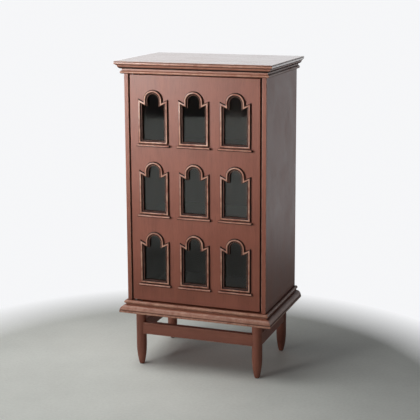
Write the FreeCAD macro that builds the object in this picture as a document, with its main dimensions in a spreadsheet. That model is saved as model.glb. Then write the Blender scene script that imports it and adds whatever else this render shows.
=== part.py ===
import FreeCAD, Part
import os
import re
import Sketcher

# Cabinet on four turned legs, with one door that carries nine arched windows.
# Millimetres. X runs to the right, Y to the back and Z up. The origin is on the floor,
# below the middle of the top board.

SIZES = [
    ("carcass_wide", 562, "outside width of the carcass"),
    ("carcass_deep", 401, "carcass from its front edges to its back edges"),
    ("overall_high", 1200, "floor to the top of the crown board"),
    ("crown_high", 48, "crown board with its moulding"),
    ("base_high", 46, "base moulding"),
    ("base_floor", 220, "height of the cabinet's underside"),
    ("side_thick", 20, "side panel"),
    ("side_arris", 4, "bevel along the inner front edge of a side panel"),
    ("board_thick", 18, "bottom board, top panel, base board and shelves"),
    ("back_thick", 6, "back panel"),
    ("back_inset", 10, "back panel from the back edges"),
    ("groove_deep", 6, "groove for the back panel"),
    ("loose_fit", 0.3, "gap beside a loose wooden part"),
    ("tight_fit", 0.1, "gap beside a glued or pressed part"),
    ("run_fit", 0.08, "radial gap at a pivot pin"),
    ("cross_rail_deep", 40, "head rail and toe rail, front to back"),
    ("cut_over", 5, "overrun of every cutting solid"),
    ("crown_over", 29, "crown board past the carcass, at the front and sides"),
    ("crown_board_thick", 12, "crown board"),
    ("nosing_round", 3, "rounding of the crown board's edges"),
    ("bead_out", 12, "bead of the crown and base mouldings past the carcass"),
    ("bead_radius", 6, "bead of the crown and base mouldings"),
    ("crown_round_radius", 14, "quarter round of the crown moulding"),
    ("crown_lip_step", 4, "top lip of the crown moulding past its quarter round"),
    ("crown_lip_high", 3, "top lip of the crown moulding"),
    ("base_step", 1, "plinth edge past the quarter round above it"),
    ("plinth_high", 8, "plinth edge"),
    ("base_round_radius", 20, "quarter round of the base moulding"),
    ("leg_radius", 20, "straight part of a leg"),
    ("leg_in", 42, "leg axis from the outside of the carcass, sideways"),
    ("leg_in_front", 30, "leg axis from the front of the carcass"),
    ("leg_in_back", 48, "leg axis from the back of the carcass"),
    ("taper_high", 84, "where a leg's taper starts"),
    ("foot_radius", 10.5, "foot of a leg"),
    ("foot_round", 1.5, "rounding at the foot"),
    ("glide_radius", 8.5, "glide under a foot"),
    ("glide_thick", 2, "glide under a foot"),
    ("rail_low", 128, "underside of the leg rails"),
    ("rail_high", 46, "leg rail, bottom to top"),
    ("rail_thick", 24, "leg rail"),
    ("rail_face_out", 15, "outer face of a leg rail from the leg axis"),
    ("rail_end_in", 8, "end of a rail's blank from the leg axis, before it is coped"),
    ("dowel_radius", 5, "rail dowel"),
    ("dowel_long", 36, "rail dowel"),
    ("dowel_in_leg", 12, "rail dowel inside the leg"),
    ("leg_plate_wide", 54, "square plate above a leg"),
    ("leg_plate_thick", 3, "square plate above a leg"),
    ("leg_bolt_radius", 4, "hanger bolt of a leg"),
    ("leg_bolt_in_leg", 48, "hanger bolt inside the leg"),
    ("leg_bolt_in_board", 15, "hanger bolt inside the base board"),
    ("shelf_drop", 49, "underside of a shelf below the foot of the frames above it"),
    ("shelf_front_gap", 14, "shelf edge from the back of the door"),
    ("shelf_pin_radius", 2.5, "shelf pin"),
    ("shelf_pin_out", 9, "shelf pin past the side panel"),
    ("shelf_pin_deep", 10, "shelf pin inside the side panel"),
    ("shelf_pin_inset", 60, "shelf pin from the shelf's front and back edge"),
    ("door_thick", 22, "door panel"),
    ("door_gap_side", 3, "door to the side panels"),
    ("door_gap_top", 3, "door to the head rail"),
    ("door_gap_low", 6, "door to the toe rail"),
    ("door_gap_back", 4, "door to the boards behind its edges"),
    ("door_arris", 2, "rounding of the door's front edges"),
    ("door_stile", 35, "window frames from the door's side edges"),
    ("door_mullion", 43, "between two window frames, sideways"),
    ("door_foot", 71, "lowest window frames from the door's lower edge"),
    ("door_head", 55, "highest window frames from the door's upper edge"),
    ("door_band", 68, "between two window frames, upwards"),
    ("frame_band", 15, "width of the frame moulding"),
    ("frame_foot_high", 13, "lower bar of the frame"),
    ("ear_wide", 22, "ear of a frame, from the arch to the frame's side"),
    ("ear_tip_rise", 3, "outer point of an ear above the arch's centre"),
    ("ear_base_drop", 7.5, "where an ear meets the arch, below the arch's centre"),
    ("ear_under_drop", 15.5, "opening below an ear at the jamb, below the arch's centre"),
    ("cusp_drop", 25, "opening below an ear at the arch, below the arch's centre"),
    ("frame_bead_wide", 10.5, "raised bead of the frame"),
    ("bead_ear_drop", 13.65, "inner edge of the bead at the jamb, below the arch's centre"),
    ("bead_cusp_drop", 24.15, "inner edge of the bead at the arch, below the arch's centre"),
    ("frame_bead_out", 8, "raised bead past the door's face"),
    ("frame_band_out", 3, "flat band past the door's face"),
    ("frame_bead_round", 4.5, "rounding of the raised bead"),
    ("sill_over", 6, "window sill past the frame, at each side"),
    ("sill_high", 8, "window sill"),
    ("sill_out", 13, "window sill past the door's face"),
    ("sill_drop", 2.5, "sill below the frame's foot"),
    ("sill_round", 3.8, "rounding of the sill"),
    ("rebate_deep", 15, "rebate for the glass at the back of the door"),
    ("rebate_margin", 8, "rebate past the window openings"),
    ("glass_thick", 4, "glass pane"),
    ("glass_gap", 0.5, "glass to the rebate's edge"),
    ("pivot_in", 10, "pivot axis from the door's side edge"),
    ("pivot_back", 7, "pivot axis from the door's face"),
    ("pivot_plate_long", 34, "pivot plate"),
    ("pivot_plate_wide", 10, "pivot plate"),
    ("pivot_plate_thick", 3, "pivot plate"),
    ("pivot_plate_end", 8, "short end of a pivot plate from the axis"),
    ("pivot_radius", 3, "pivot pin"),
    ("collar_radius", 4.5, "collar of a pivot pin"),
    ("pivot_root", 8, "pivot pin inside the rail and its plate"),
    ("pivot_in_door", 11, "pivot pin inside the door and its plate"),
    ("pivot_gap", 0.3, "play above a pivot collar and beyond a pin's end"),
    ("catch_in", 36, "catch axis from the inside of the side panel"),
    ("catch_wide", 16, "catch body"),
    ("catch_tall", 16, "catch body"),
    ("catch_long", 50, "catch body"),
    ("catch_set", 8, "catch body from the back of the door"),
    ("plunger_radius", 4, "catch plunger"),
    ("plunger_long", 30, "thick part of the catch plunger"),
    ("plunger_fit", 0.3, "gap round the plunger and before the strike plate"),
    ("stem_radius", 1.5, "stem of the plunger"),
    ("stem_long", 14, "stem of the plunger"),
    ("press_stroke", 3, "travel of the plunger when the door is pressed"),
    ("catch_bore_long", 46, "bore of the catch body"),
    ("spring_radius", 2.8, "middle of the spring's wire from its axis"),
    ("spring_wire_radius", 0.45, "wire of the spring"),
    ("spring_turns", 7, "turns of the spring"),
    ("strike_wide", 18, "strike plate"),
    ("strike_tall", 18, "strike plate"),
    ("strike_thick", 1.5, "strike plate"),
]

COLUMNS = 3
ROWS = 3
CLOSE = 1e-4

# Names for places that many pieces share
FRONT = "(crown_over - carcass_deep) / 2"
BACK = "(crown_over + carcass_deep) / 2"
INSIDE = "(carcass_wide / 2 - side_thick)"
BASE_TOP = "(base_floor + base_high)"
CROWN_LOW = "(overall_high - crown_high)"
CROWN_BOARD_LOW = "(overall_high - crown_board_thick)"
BOARD_FRONT = FRONT + " + door_thick + door_gap_back"
BACK_PANEL_FRONT = BACK + " - back_inset - back_thick"
DOOR_HALF = "(carcass_wide / 2 - side_thick - door_gap_side)"
DOOR_LOW = "(base_floor + base_high + door_gap_low)"
DOOR_TOP = "(overall_high - crown_high - door_gap_top)"
LEG_ACROSS = "(carcass_wide / 2 - leg_in)"
LEG_FRONT = "(" + FRONT + " + leg_in_front)"
LEG_BACK = "(" + BACK + " - leg_in_back)"
PIVOT_ACROSS = "(-" + DOOR_HALF + " + pivot_in)"
PIVOT_DEPTH = "(" + FRONT + " + pivot_back)"
LEG_MIDDLE = "(" + LEG_FRONT + " + " + LEG_BACK + ") / 2"
RAIL_FRONT_MIDDLE = "(" + LEG_FRONT + " - rail_face_out + rail_thick / 2)"
RAIL_BACK_MIDDLE = "(" + LEG_BACK + " + rail_face_out - rail_thick / 2)"
RAIL_SIDE_MIDDLE = "(" + LEG_ACROSS + " + rail_face_out - rail_thick / 2)"
FRAMES_WIDE = "(2 * %s - 2 * door_stile - %d * door_mullion)" % (DOOR_HALF, COLUMNS - 1)
FRAME_WIDE = "(%s / %d)" % (FRAMES_WIDE, COLUMNS)
FRAMES_HIGH = "(%s - %s - door_foot - door_head - %d * door_band)" % (DOOR_TOP, DOOR_LOW, ROWS - 1)
FRAME_HIGH = "(%s / %d)" % (FRAMES_HIGH, ROWS)
COLUMN_PITCH = "(" + FRAME_WIDE + " + door_mullion)"
ROW_PITCH = "(" + FRAME_HIGH + " + door_band)"
WINDOW_LOW = "(" + DOOR_LOW + " + door_foot)"
ARCH_RADIUS = "(" + FRAME_WIDE + " / 2 - ear_wide)"
ARCH_CENTRE = "(" + FRAME_HIGH + " - " + ARCH_RADIUS + ")"
REBATE_HALF = "(" + DOOR_HALF + " - door_stile - frame_band + rebate_margin)"
REBATE_FOOT = "frame_foot_high - rebate_margin"
REBATE_HEAD = FRAME_HIGH + " - frame_band + rebate_margin"
NECK_OUT = "(bead_out - bead_radius)"
CROWN_LIP_OUT = "(" + NECK_OUT + " + crown_round_radius + crown_lip_step)"
PLINTH_OUT = "(" + NECK_OUT + " + base_round_radius + base_step)"
CATCH_ACROSS = "(" + INSIDE + " - catch_in)"
CATCH_HIGH = "(" + CROWN_LOW + " - board_thick - catch_tall / 2)"

X_AXIS = FreeCAD.Vector(1, 0, 0)
Y_AXIS = FreeCAD.Vector(0, 1, 0)
Z_AXIS = FreeCAD.Vector(0, 0, 1)
TURNS = {
    "x": FreeCAD.Rotation(Z_AXIS, X_AXIS),
    "y": FreeCAD.Rotation(Z_AXIS, Y_AXIS),
    "z": FreeCAD.Rotation(),
    "down": FreeCAD.Rotation(Z_AXIS, -Z_AXIS),
}

doc = FreeCAD.newDocument("Cabinet")
sheet = doc.addObject("Spreadsheet::Sheet", "Sizes")
parts = []


def fill_sheet():
    """Writes the driving sizes, one row each."""
    for row, (alias, value, meaning) in enumerate(SIZES, start=1):
        sheet.set("A%d" % row, meaning)
        sheet.set("B%d" % row, str(value))
        sheet.setAlias("B%d" % row, alias)
    doc.recompute()


def sized(text):
    """A sum of size names, with each name read from the sheet."""
    return re.sub(r"\b[a-z]+(?:_[a-z]+)+\b", lambda word: "Sizes." + word.group(0), text)


def value(text):
    """The present value of a sum of size names."""
    return float(sheet.evalExpression(sized(text)))


def place(thing, across, back, up):
    for axis, text in zip("xyz", (across, back, up)):
        thing.setExpression("Placement.Base." + axis, sized(text))
    return thing


def keep(label, thing):
    """Makes a thing one of the sub-parts."""
    thing.Label = label
    parts.append(thing)
    return thing


def box(label, corner, extent):
    thing = doc.addObject("Part::Box", label)
    for side, text in zip(("Length", "Width", "Height"), extent):
        thing.setExpression(side, sized(text))
    return place(thing, *corner)


def rod(label, radius, length, start, along="z"):
    thing = doc.addObject("Part::Cylinder", label)
    thing.setExpression("Radius", sized(radius))
    thing.setExpression("Height", sized(length))
    thing.Placement.Rotation = TURNS[along]
    return place(thing, *start)


def group(label, members):
    thing = doc.addObject("Part::Compound", label)
    thing.Links = members
    return thing


def cut(label, base, tools):
    thing = doc.addObject("Part::Cut", label)
    thing.Base = base
    thing.Tool = group(label + "_cuts", tools)
    return thing


def mirrored(label, source, normal, middle="0"):
    """A mirror copy; the mirror plane stands at the middle along its normal."""
    thing = doc.addObject("Part::Mirroring", label)
    thing.Source = source
    thing.Normal = normal
    if normal == Y_AXIS:
        thing.setExpression("Base.y", sized(middle))
    return keep(label, thing)


def new_body(label):
    return doc.addObject("PartDesign::Body", label)


def new_sketch(body, name, role, offset="0"):
    """A sketch on one of the body's own origin planes, moved along its normal."""
    sketch = body.newObject("Sketcher::SketchObject", body.Name + "_" + name)
    plane = [item for item in body.Origin.OriginFeatures if item.Role == role][0]
    sketch.AttachmentSupport = [(plane, "")]
    sketch.MapMode = "FlatFace"
    sketch.setExpression("AttachmentOffset.Base.z", sized(offset))
    return sketch


def curve(start, end, centre):
    """A straight line, or an arc that turns right or left about its centre."""
    if centre is None:
        return Part.LineSegment(start, end), 1
    middle, turn = centre
    arm = start - middle
    circle = Part.Circle(middle, Z_AXIS, arm.Length)
    first = circle.parameter(start)
    last = circle.parameter(end)
    if turn == "left":
        return Part.ArcOfCircle(circle, first, last), 1
    return Part.ArcOfCircle(circle, last, first), 2


def tie(sketch, kind, index, point, text):
    """Binds one coordinate of a point to a sum of sizes."""
    number = sketch.addConstraint(Sketcher.Constraint(kind, -1, 1, index, point, value(text)))
    if text != "0":
        sketch.setExpression("Constraints[%d]" % number, sized(text))


def outline(sketch, points):
    """Draws a closed outline. A point is (across, up), and one that starts an arc
    also names the arc's centre and whether it turns left or right."""
    corners = [FreeCAD.Vector(value(point[0]), value(point[1]), 0) for point in points]
    lines = []
    for number, point in enumerate(points):
        following = corners[(number + 1) % len(points)]
        centre = None
        if len(point) > 2:
            across, up, turn = point[2]
            centre = (FreeCAD.Vector(value(across), value(up), 0), turn)
        shape, first = curve(corners[number], following, centre)
        lines.append((sketch.addGeometry(shape, False), first))
    for number, point in enumerate(points):
        index, first = lines[number]
        last = 3 - first
        after, after_first = lines[(number + 1) % len(points)]
        tie(sketch, "DistanceX", index, first, point[0])
        tie(sketch, "DistanceY", index, first, point[1])
        sketch.addConstraint(Sketcher.Constraint("Coincident", index, last, after, after_first))
        if len(point) > 2:
            chord = corners[(number + 1) % len(points)] - corners[number]
            if abs(chord.x) > abs(chord.y):
                tie(sketch, "DistanceY", index, 3, point[2][1])
            else:
                tie(sketch, "DistanceX", index, 3, point[2][0])


def rectangle(sketch, left, right, low, high):
    outline(sketch, [(left, low), (right, low), (right, high), (left, high)])


def pad(body, sketch, length, reverse=False):
    feature = body.newObject("PartDesign::Pad", sketch.Name + "_pad")
    feature.Profile = sketch
    feature.setExpression("Length", sized(length))
    feature.Reversed = reverse
    return feature


def pocket(body, sketch, length, reverse=False):
    feature = body.newObject("PartDesign::Pocket", sketch.Name + "_pocket")
    feature.Profile = sketch
    feature.setExpression("Length", sized(length))
    feature.Reversed = reverse
    return feature


def revolve(body, sketch):
    feature = body.newObject("PartDesign::Revolution", sketch.Name + "_turned")
    feature.Profile = sketch
    feature.ReferenceAxis = (sketch, ["V_Axis"])
    return feature


def soften(body, base, radius, wanted):
    """Rounds the edges of the base feature that the test picks."""
    doc.recompute()
    names = []
    for number, edge in enumerate(base.Shape.Edges, start=1):
        if wanted(edge):
            names.append("Edge%d" % number)
    feature = body.newObject("PartDesign::Fillet", body.Name + "_round")
    feature.Base = (base, names)
    feature.setExpression("Radius", sized(radius))
    return feature


def lies_at(edge, axis, text):
    """True for an edge whose whole length has this one coordinate."""
    low = getattr(edge.BoundBox, axis + "Min") - value(text)
    high = getattr(edge.BoundBox, axis + "Max") - value(text)
    return abs(low) < CLOSE and abs(high) < CLOSE


def board(label, left, right, front, back, low, high):
    """A plain rectangular board between six planes."""
    corner = (left, front, low)
    extent = ("(%s) - (%s)" % (right, left), "(%s) - (%s)" % (back, front), "(%s) - (%s)" % (high, low))
    return box(label, corner, extent)


def carcass():
    """Side panels, boards, back, shelves and the two cross rails behind the mouldings."""
    groove = (BACK_PANEL_FRONT, BACK_PANEL_FRONT + " + back_thick")
    panel = new_body("side_panel_left_board")
    sketch = new_sketch(panel, "outline", "XY_Plane")
    outline(sketch, [
        ("0", "0"),
        ("side_thick - side_arris", "0"),
        ("side_thick", "side_arris"),
        ("side_thick", "carcass_deep"),
        ("0", "carcass_deep"),
    ])
    pad(panel, sketch, CROWN_BOARD_LOW + " - base_floor - board_thick")
    place(panel, "-carcass_wide / 2", FRONT, "base_floor + board_thick")
    cuts = [box(
        "side_groove",
        ("-" + INSIDE + " - groove_deep", groove[0], "base_floor"),
        ("groove_deep + cut_over", "back_thick", "overall_high"))]
    for shelf in ("upper", "lower"):
        for end, depth in shelf_pin_depths():
            start = ("-" + INSIDE + " - shelf_pin_deep", depth, shelf_pin_high(shelf))
            name = "shelf_hole_%s_%s" % (shelf, end)
            cuts.append(rod(name, "shelf_pin_radius + tight_fit", "shelf_pin_deep + cut_over", start, "x"))
    left = keep("side_panel_left", cut("side_panel_left_cut", panel, cuts))
    mirrored("side_panel_right", left, X_AXIS)

    for name, low in (("bottom_board", BASE_TOP), ("top_panel", CROWN_LOW + " - board_thick")):
        keep(name, board(
            name, "-" + INSIDE, INSIDE, BOARD_FRONT, BACK_PANEL_FRONT, low, low + " + board_thick"))
    reach = "(" + INSIDE + " + groove_deep - loose_fit)"
    keep("back_panel", board(
        "back_panel", "-" + reach, reach, groove[0], groove[1],
        "base_floor + board_thick", CROWN_BOARD_LOW))
    for shelf in ("upper", "lower"):
        low = shelf_low(shelf)
        keep("shelf_" + shelf, board(
            "shelf_" + shelf, "-" + INSIDE + " + loose_fit", INSIDE + " - loose_fit",
            FRONT + " + door_thick + shelf_front_gap", BACK_PANEL_FRONT + " - loose_fit",
            low, low + " + board_thick"))
    pins = []
    pin_starts = (("left", "-" + INSIDE + " - shelf_pin_deep"), ("right", INSIDE + " - shelf_pin_out"))
    for shelf in ("upper", "lower"):
        for end, depth in shelf_pin_depths():
            for side, across in pin_starts:
                name = "shelf_pin_%s_%s_%s" % (shelf, end, side)
                start = (across, depth, shelf_pin_high(shelf))
                pins.append(rod(name, "shelf_pin_radius", "shelf_pin_out + shelf_pin_deep", start, "x"))
    keep("shelf_pins", group("shelf_pins", pins))

    seats = []
    for across in ("-" + LEG_ACROSS, LEG_ACROSS):
        for depth in (LEG_FRONT, LEG_BACK):
            seats.append(rod(
                "board_bolt_hole", "leg_bolt_radius + tight_fit", "board_thick + 2 * cut_over",
                (across, depth, "base_floor - cut_over")))
            seats.append(board(
                "board_plate_seat", across + " - leg_plate_wide / 2", across + " + leg_plate_wide / 2",
                depth + " - leg_plate_wide / 2", depth + " + leg_plate_wide / 2",
                "base_floor - cut_over", "base_floor + leg_plate_thick"))
    blank = board(
        "base_board_blank", "-carcass_wide / 2", "carcass_wide / 2", FRONT, BACK,
        "base_floor", "base_floor + board_thick")
    keep("base_board", cut("base_board_cut", blank, seats))

    cross_rail(
        "toe_rail", "base_floor + board_thick", BASE_TOP, BASE_TOP, "pivot_plate_thick", "pivot_root")
    cross_rail("head_rail", CROWN_LOW, CROWN_BOARD_LOW, CROWN_LOW, "cut_over", "cut_over")


def cross_rail(name, low, high, level, seat_down, hole_down):
    """A rail across the front, with the seat and the hole of a pivot in one face."""
    rail = board(name + "_blank", "-" + INSIDE, INSIDE, FRONT, FRONT + " + cross_rail_deep", low, high)
    seat = pivot_plate_blank(name + "_seat", level + " - " + seat_down, "pivot_plate_thick + cut_over")
    start = (PIVOT_ACROSS, PIVOT_DEPTH, level + " - " + hole_down)
    hole = rod(name + "_hole", "pivot_radius + tight_fit", "pivot_root + cut_over", start)
    keep(name, cut(name + "_cut", rail, [seat, hole]))


def shelf_pin_depths():
    """Front and back places of the shelf pins."""
    return (
        ("front", FRONT + " + door_thick + shelf_front_gap + shelf_pin_inset"),
        ("back", BACK_PANEL_FRONT + " - loose_fit - shelf_pin_inset"),
    )


def shelf_low(shelf):
    """Underside of a shelf, behind the band of the door below a row of windows."""
    row = 1 if shelf == "upper" else 2
    return window_place(1, row)[1] + " - shelf_drop"


def shelf_pin_high(shelf):
    return shelf_low(shelf) + " - shelf_pin_radius"


def moulding_section(over, flip):
    """Section of a moulding: how far out against how far up. The crown's section has its
    bead at the foot and the base's has it on top."""
    if flip:
        top = "base_high"
        round_top = "(plinth_high + base_round_radius)"
        return [
            ("0", "0"),
            (over, "0"),
            (over, "plinth_high"),
            (NECK_OUT + " + base_round_radius", "plinth_high", (NECK_OUT, "plinth_high", "left")),
            (NECK_OUT, round_top),
            (NECK_OUT, top + " - 2 * bead_radius", (NECK_OUT, top + " - bead_radius", "left")),
            (NECK_OUT, top),
            ("0", top),
        ]
    top = "(crown_high - crown_board_thick)"
    round_top = top + " - crown_lip_high"
    return [
        ("0", "0"),
        (NECK_OUT, "0", (NECK_OUT, "bead_radius", "left")),
        (NECK_OUT, "2 * bead_radius"),
        (NECK_OUT, round_top + " - crown_round_radius", (NECK_OUT, round_top, "left")),
        (NECK_OUT + " + crown_round_radius", round_top),
        (over, round_top),
        (over, top),
        ("0", top),
    ]


def turned_over(points):
    """The same section drawn towards the front, where outwards is negative."""
    flipped = []
    for point in points:
        item = ["-(%s)" % point[0], point[1]]
        if len(point) > 2:
            across, up, turn = point[2]
            item.append(("-(%s)" % across, up, "right"))
        flipped.append(tuple(item))
    return flipped


def mouldings(name, over, low, flip):
    """Front and two side pieces with mitred corners at the front."""
    section = turned_over(moulding_section(over, flip))
    front = new_body(name + "_front")
    sketch = new_sketch(front, "section", "YZ_Plane")
    outline(sketch, section)
    length = "(carcass_wide + 2 * %s)" % over
    pad(front, sketch, length)
    for end, base, tip in (("left", "0", over), ("right", length, length + " - " + over)):
        mitre = new_sketch(front, "mitre_" + end, "XY_Plane")
        outline(mitre, [(base, "0"), (tip, "0"), (base, "-" + over)])
        pocket(front, mitre, "overall_high", True)
    place(front, "-" + length + " / 2", FRONT, low)
    keep(name + "_front", front)

    side = new_body(name + "_left")
    sketch = new_sketch(side, "section", "XZ_Plane")
    outline(sketch, section)
    pad(side, sketch, "carcass_deep + " + over, True)
    mitre = new_sketch(side, "mitre", "XY_Plane")
    outline(mitre, [("0", "0"), ("0", over), ("-" + over, "0")])
    pocket(side, mitre, "overall_high", True)
    place(side, "-carcass_wide / 2", FRONT + " - " + over, low)
    keep(name + "_left", side)
    mirrored(name + "_right", side, X_AXIS)


def crown_board():
    body = new_body("crown_board")
    sketch = new_sketch(body, "outline", "XY_Plane")
    half = "(carcass_wide / 2 + crown_over)"
    rectangle(sketch, "-" + half, half, FRONT + " - crown_over", BACK)
    slab = pad(body, sketch, "crown_board_thick")

    def nosing(edge):
        level = lies_at(edge, "Z", "0") or lies_at(edge, "Z", "crown_board_thick")
        return level and not lies_at(edge, "Y", BACK)

    soften(body, slab, "nosing_round", nosing)
    place(body, "0", "0", CROWN_BOARD_LOW)
    keep("crown_board", body)


def legs():
    """Four turned legs; three are mirror copies of the front left one."""
    body = new_body("leg_turned")
    sketch = new_sketch(body, "profile", "XZ_Plane")
    drop = "(taper_high - glide_thick - foot_round)"
    step = "(leg_radius - foot_radius)"
    swing = "((%s ^ 2 + %s ^ 2) / (2 * %s))" % (drop, step, step)
    outline(sketch, [
        ("0", "glide_thick"),
        ("foot_radius - foot_round", "glide_thick"),
        ("foot_radius", "glide_thick + foot_round", ("leg_radius - " + swing, "taper_high", "left")),
        ("leg_radius", "taper_high"),
        ("leg_radius", "base_floor"),
        ("0", "base_floor"),
    ])
    revolve(body, sketch)
    place(body, "-" + LEG_ACROSS, LEG_FRONT, "0")
    middle_high = "rail_low + rail_high / 2"
    cuts = [
        rod("leg_dowel_hole_side", "dowel_radius + tight_fit", "dowel_in_leg + leg_radius",
            ("-" + LEG_ACROSS + " + leg_radius - dowel_in_leg", RAIL_FRONT_MIDDLE, middle_high), "x"),
        rod("leg_dowel_hole_back", "dowel_radius + tight_fit", "dowel_in_leg + leg_radius",
            ("-" + RAIL_SIDE_MIDDLE, LEG_FRONT + " + leg_radius - dowel_in_leg", middle_high), "y"),
        rod("leg_bolt_hole", "leg_bolt_radius + tight_fit", "leg_bolt_in_leg + cut_over",
            ("-" + LEG_ACROSS, LEG_FRONT, "base_floor - leg_bolt_in_leg")),
    ]
    front_left = keep("leg_front_left", cut("leg_front_left_cut", body, cuts))
    mirrored("leg_front_right", front_left, X_AXIS)
    back_left = mirrored("leg_back_left", front_left, Y_AXIS, LEG_MIDDLE)
    mirrored("leg_back_right", back_left, X_AXIS)

    glides = []
    plates = []
    bolts = []
    for across in ("-" + LEG_ACROSS, LEG_ACROSS):
        for depth in (LEG_FRONT, LEG_BACK):
            glides.append(rod("glide", "glide_radius", "glide_thick", (across, depth, "0")))
            blank = board(
                "leg_plate_blank", across + " - leg_plate_wide / 2 + tight_fit",
                across + " + leg_plate_wide / 2 - tight_fit", depth + " - leg_plate_wide / 2 + tight_fit",
                depth + " + leg_plate_wide / 2 - tight_fit", "base_floor", "base_floor + leg_plate_thick")
            hole = rod(
                "leg_plate_hole", "leg_bolt_radius + tight_fit", "leg_plate_thick + 2 * cut_over",
                (across, depth, "base_floor - cut_over"))
            plates.append(cut("leg_plate", blank, [hole]))
            bolts.append(rod(
                "leg_bolt", "leg_bolt_radius", "leg_bolt_in_leg + leg_bolt_in_board",
                (across, depth, "base_floor - leg_bolt_in_leg")))
    keep("foot_glides", group("foot_glides", glides))
    keep("leg_plates", group("leg_plates", plates))
    keep("leg_bolts", group("leg_bolts", bolts))


def rails():
    """Ring of stretchers coped to the legs, with a dowel at each end."""
    middle_high = "rail_low + rail_high / 2"
    levels = ("rail_low", "rail_low + rail_high")
    dowel_out = "(" + LEG_ACROSS + " - leg_radius + dowel_in_leg)"
    first = "(" + LEG_FRONT + " + leg_radius - dowel_in_leg)"
    last = "(" + LEG_BACK + " - leg_radius + dowel_in_leg)"
    bore = "dowel_radius + tight_fit"

    face = LEG_FRONT + " - rail_face_out"
    reach = "(" + LEG_ACROSS + " - rail_end_in)"
    blank = board("rail_front_blank", "-" + reach, reach, face, face + " + rail_thick", *levels)
    copes = []
    for across in ("-" + LEG_ACROSS, LEG_ACROSS):
        copes.append(rod("rail_cope", "leg_radius + tight_fit", "base_floor", (across, LEG_FRONT, "0")))
    start = ("-" + dowel_out, RAIL_FRONT_MIDDLE, middle_high)
    hole = rod("rail_front_hole", bore, "2 * " + dowel_out, start, "x")
    reach = "(" + dowel_out + " - dowel_long)"
    web = board("rail_front_web", "-" + reach, reach, face, face + " + rail_thick", *levels)
    front = keep("rail_front", rail_solid("rail_front", blank, copes, hole, web))
    mirrored("rail_back", front, Y_AXIS, LEG_MIDDLE)

    face = "-" + LEG_ACROSS + " - rail_face_out"
    begin = "(" + LEG_FRONT + " + rail_end_in)"
    end = "(" + LEG_BACK + " - rail_end_in)"
    blank = board("rail_left_blank", face, face + " + rail_thick", begin, end, *levels)
    copes = []
    for depth in (LEG_FRONT, LEG_BACK):
        start = ("-" + LEG_ACROSS, depth, "0")
        copes.append(rod("side_rail_cope", "leg_radius + tight_fit", "base_floor", start))
    start = ("-" + RAIL_SIDE_MIDDLE, first, middle_high)
    hole = rod("rail_left_hole", bore, last + " - " + first, start, "y")
    web = board(
        "rail_left_web", face, face + " + rail_thick",
        first + " + dowel_long", last + " - dowel_long", *levels)
    left = keep("rail_left", rail_solid("rail_left", blank, copes, hole, web))
    mirrored("rail_right", left, X_AXIS)

    dowels = []
    for depth in (RAIL_FRONT_MIDDLE, RAIL_BACK_MIDDLE):
        for across in ("-" + dowel_out, dowel_out + " - dowel_long"):
            dowels.append(rod("dowel", "dowel_radius", "dowel_long", (across, depth, middle_high), "x"))
    for across in ("-" + RAIL_SIDE_MIDDLE, RAIL_SIDE_MIDDLE):
        for depth in (first, last + " - dowel_long"):
            dowels.append(rod("dowel", "dowel_radius", "dowel_long", (across, depth, middle_high), "y"))
    keep("rail_dowels", group("rail_dowels", dowels))


def rail_solid(label, blank, copes, hole, web):
    """A coped rail whose dowel bore is filled again along its middle."""
    coped = cut(label + "_coped", blank, copes)
    bored = cut(label + "_bored", coped, [hole])
    solid = doc.addObject("Part::Fuse", label + "_solid")
    solid.Base = bored
    solid.Tool = web
    solid.Refine = True
    return solid


def frame_outline(foot, jamb, arch, ear, cusp):
    """Arch over a rectangle with pointed ears: half width at the jamb, radius of the arch,
    and the heights of the ear at the jamb and at the arch."""
    return [
        ("-(%s)" % jamb, foot),
        (jamb, foot),
        (jamb, ear),
        (arch, cusp),
        (arch, ARCH_CENTRE, ("0", ARCH_CENTRE, "left")),
        ("-(%s)" % arch, ARCH_CENTRE),
        ("-(%s)" % arch, cusp),
        ("-(%s)" % jamb, ear),
    ]


def opening_outline():
    jamb = FRAME_WIDE + " / 2 - frame_band"
    arch = ARCH_RADIUS + " - frame_band"
    ear = ARCH_CENTRE + " - ear_under_drop"
    return frame_outline("frame_foot_high", jamb, arch, ear, ARCH_CENTRE + " - cusp_drop")


def outer_outline():
    ear = ARCH_CENTRE + " + ear_tip_rise"
    return frame_outline("0", FRAME_WIDE + " / 2", ARCH_RADIUS, ear, ARCH_CENTRE + " - ear_base_drop")


def bead_outline():
    jamb = FRAME_WIDE + " / 2 - frame_bead_wide"
    arch = ARCH_RADIUS + " - frame_bead_wide"
    ear = ARCH_CENTRE + " - bead_ear_drop"
    return frame_outline("frame_bead_wide", jamb, arch, ear, ARCH_CENTRE + " - bead_cusp_drop")


def window_place(column, row):
    """Foot of a window frame; column 1 is on the left and row 1 on top."""
    middle = (COLUMNS + 1) / 2
    across = "%g * %s" % (column - middle, COLUMN_PITCH)
    return across, "%s + %d * %s" % (WINDOW_LOW, ROWS - row, ROW_PITCH)


def shifted(points, across, up):
    """The same outline moved along both directions."""
    moved = []
    for point in points:
        item = ["%s + %s" % (across, point[0]), "%s + %s" % (up, point[1])]
        if len(point) > 2:
            middle, high, turn = point[2]
            item.append(("%s + %s" % (across, middle), "%s + %s" % (up, high), turn))
        moved.append(tuple(item))
    return moved


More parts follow.
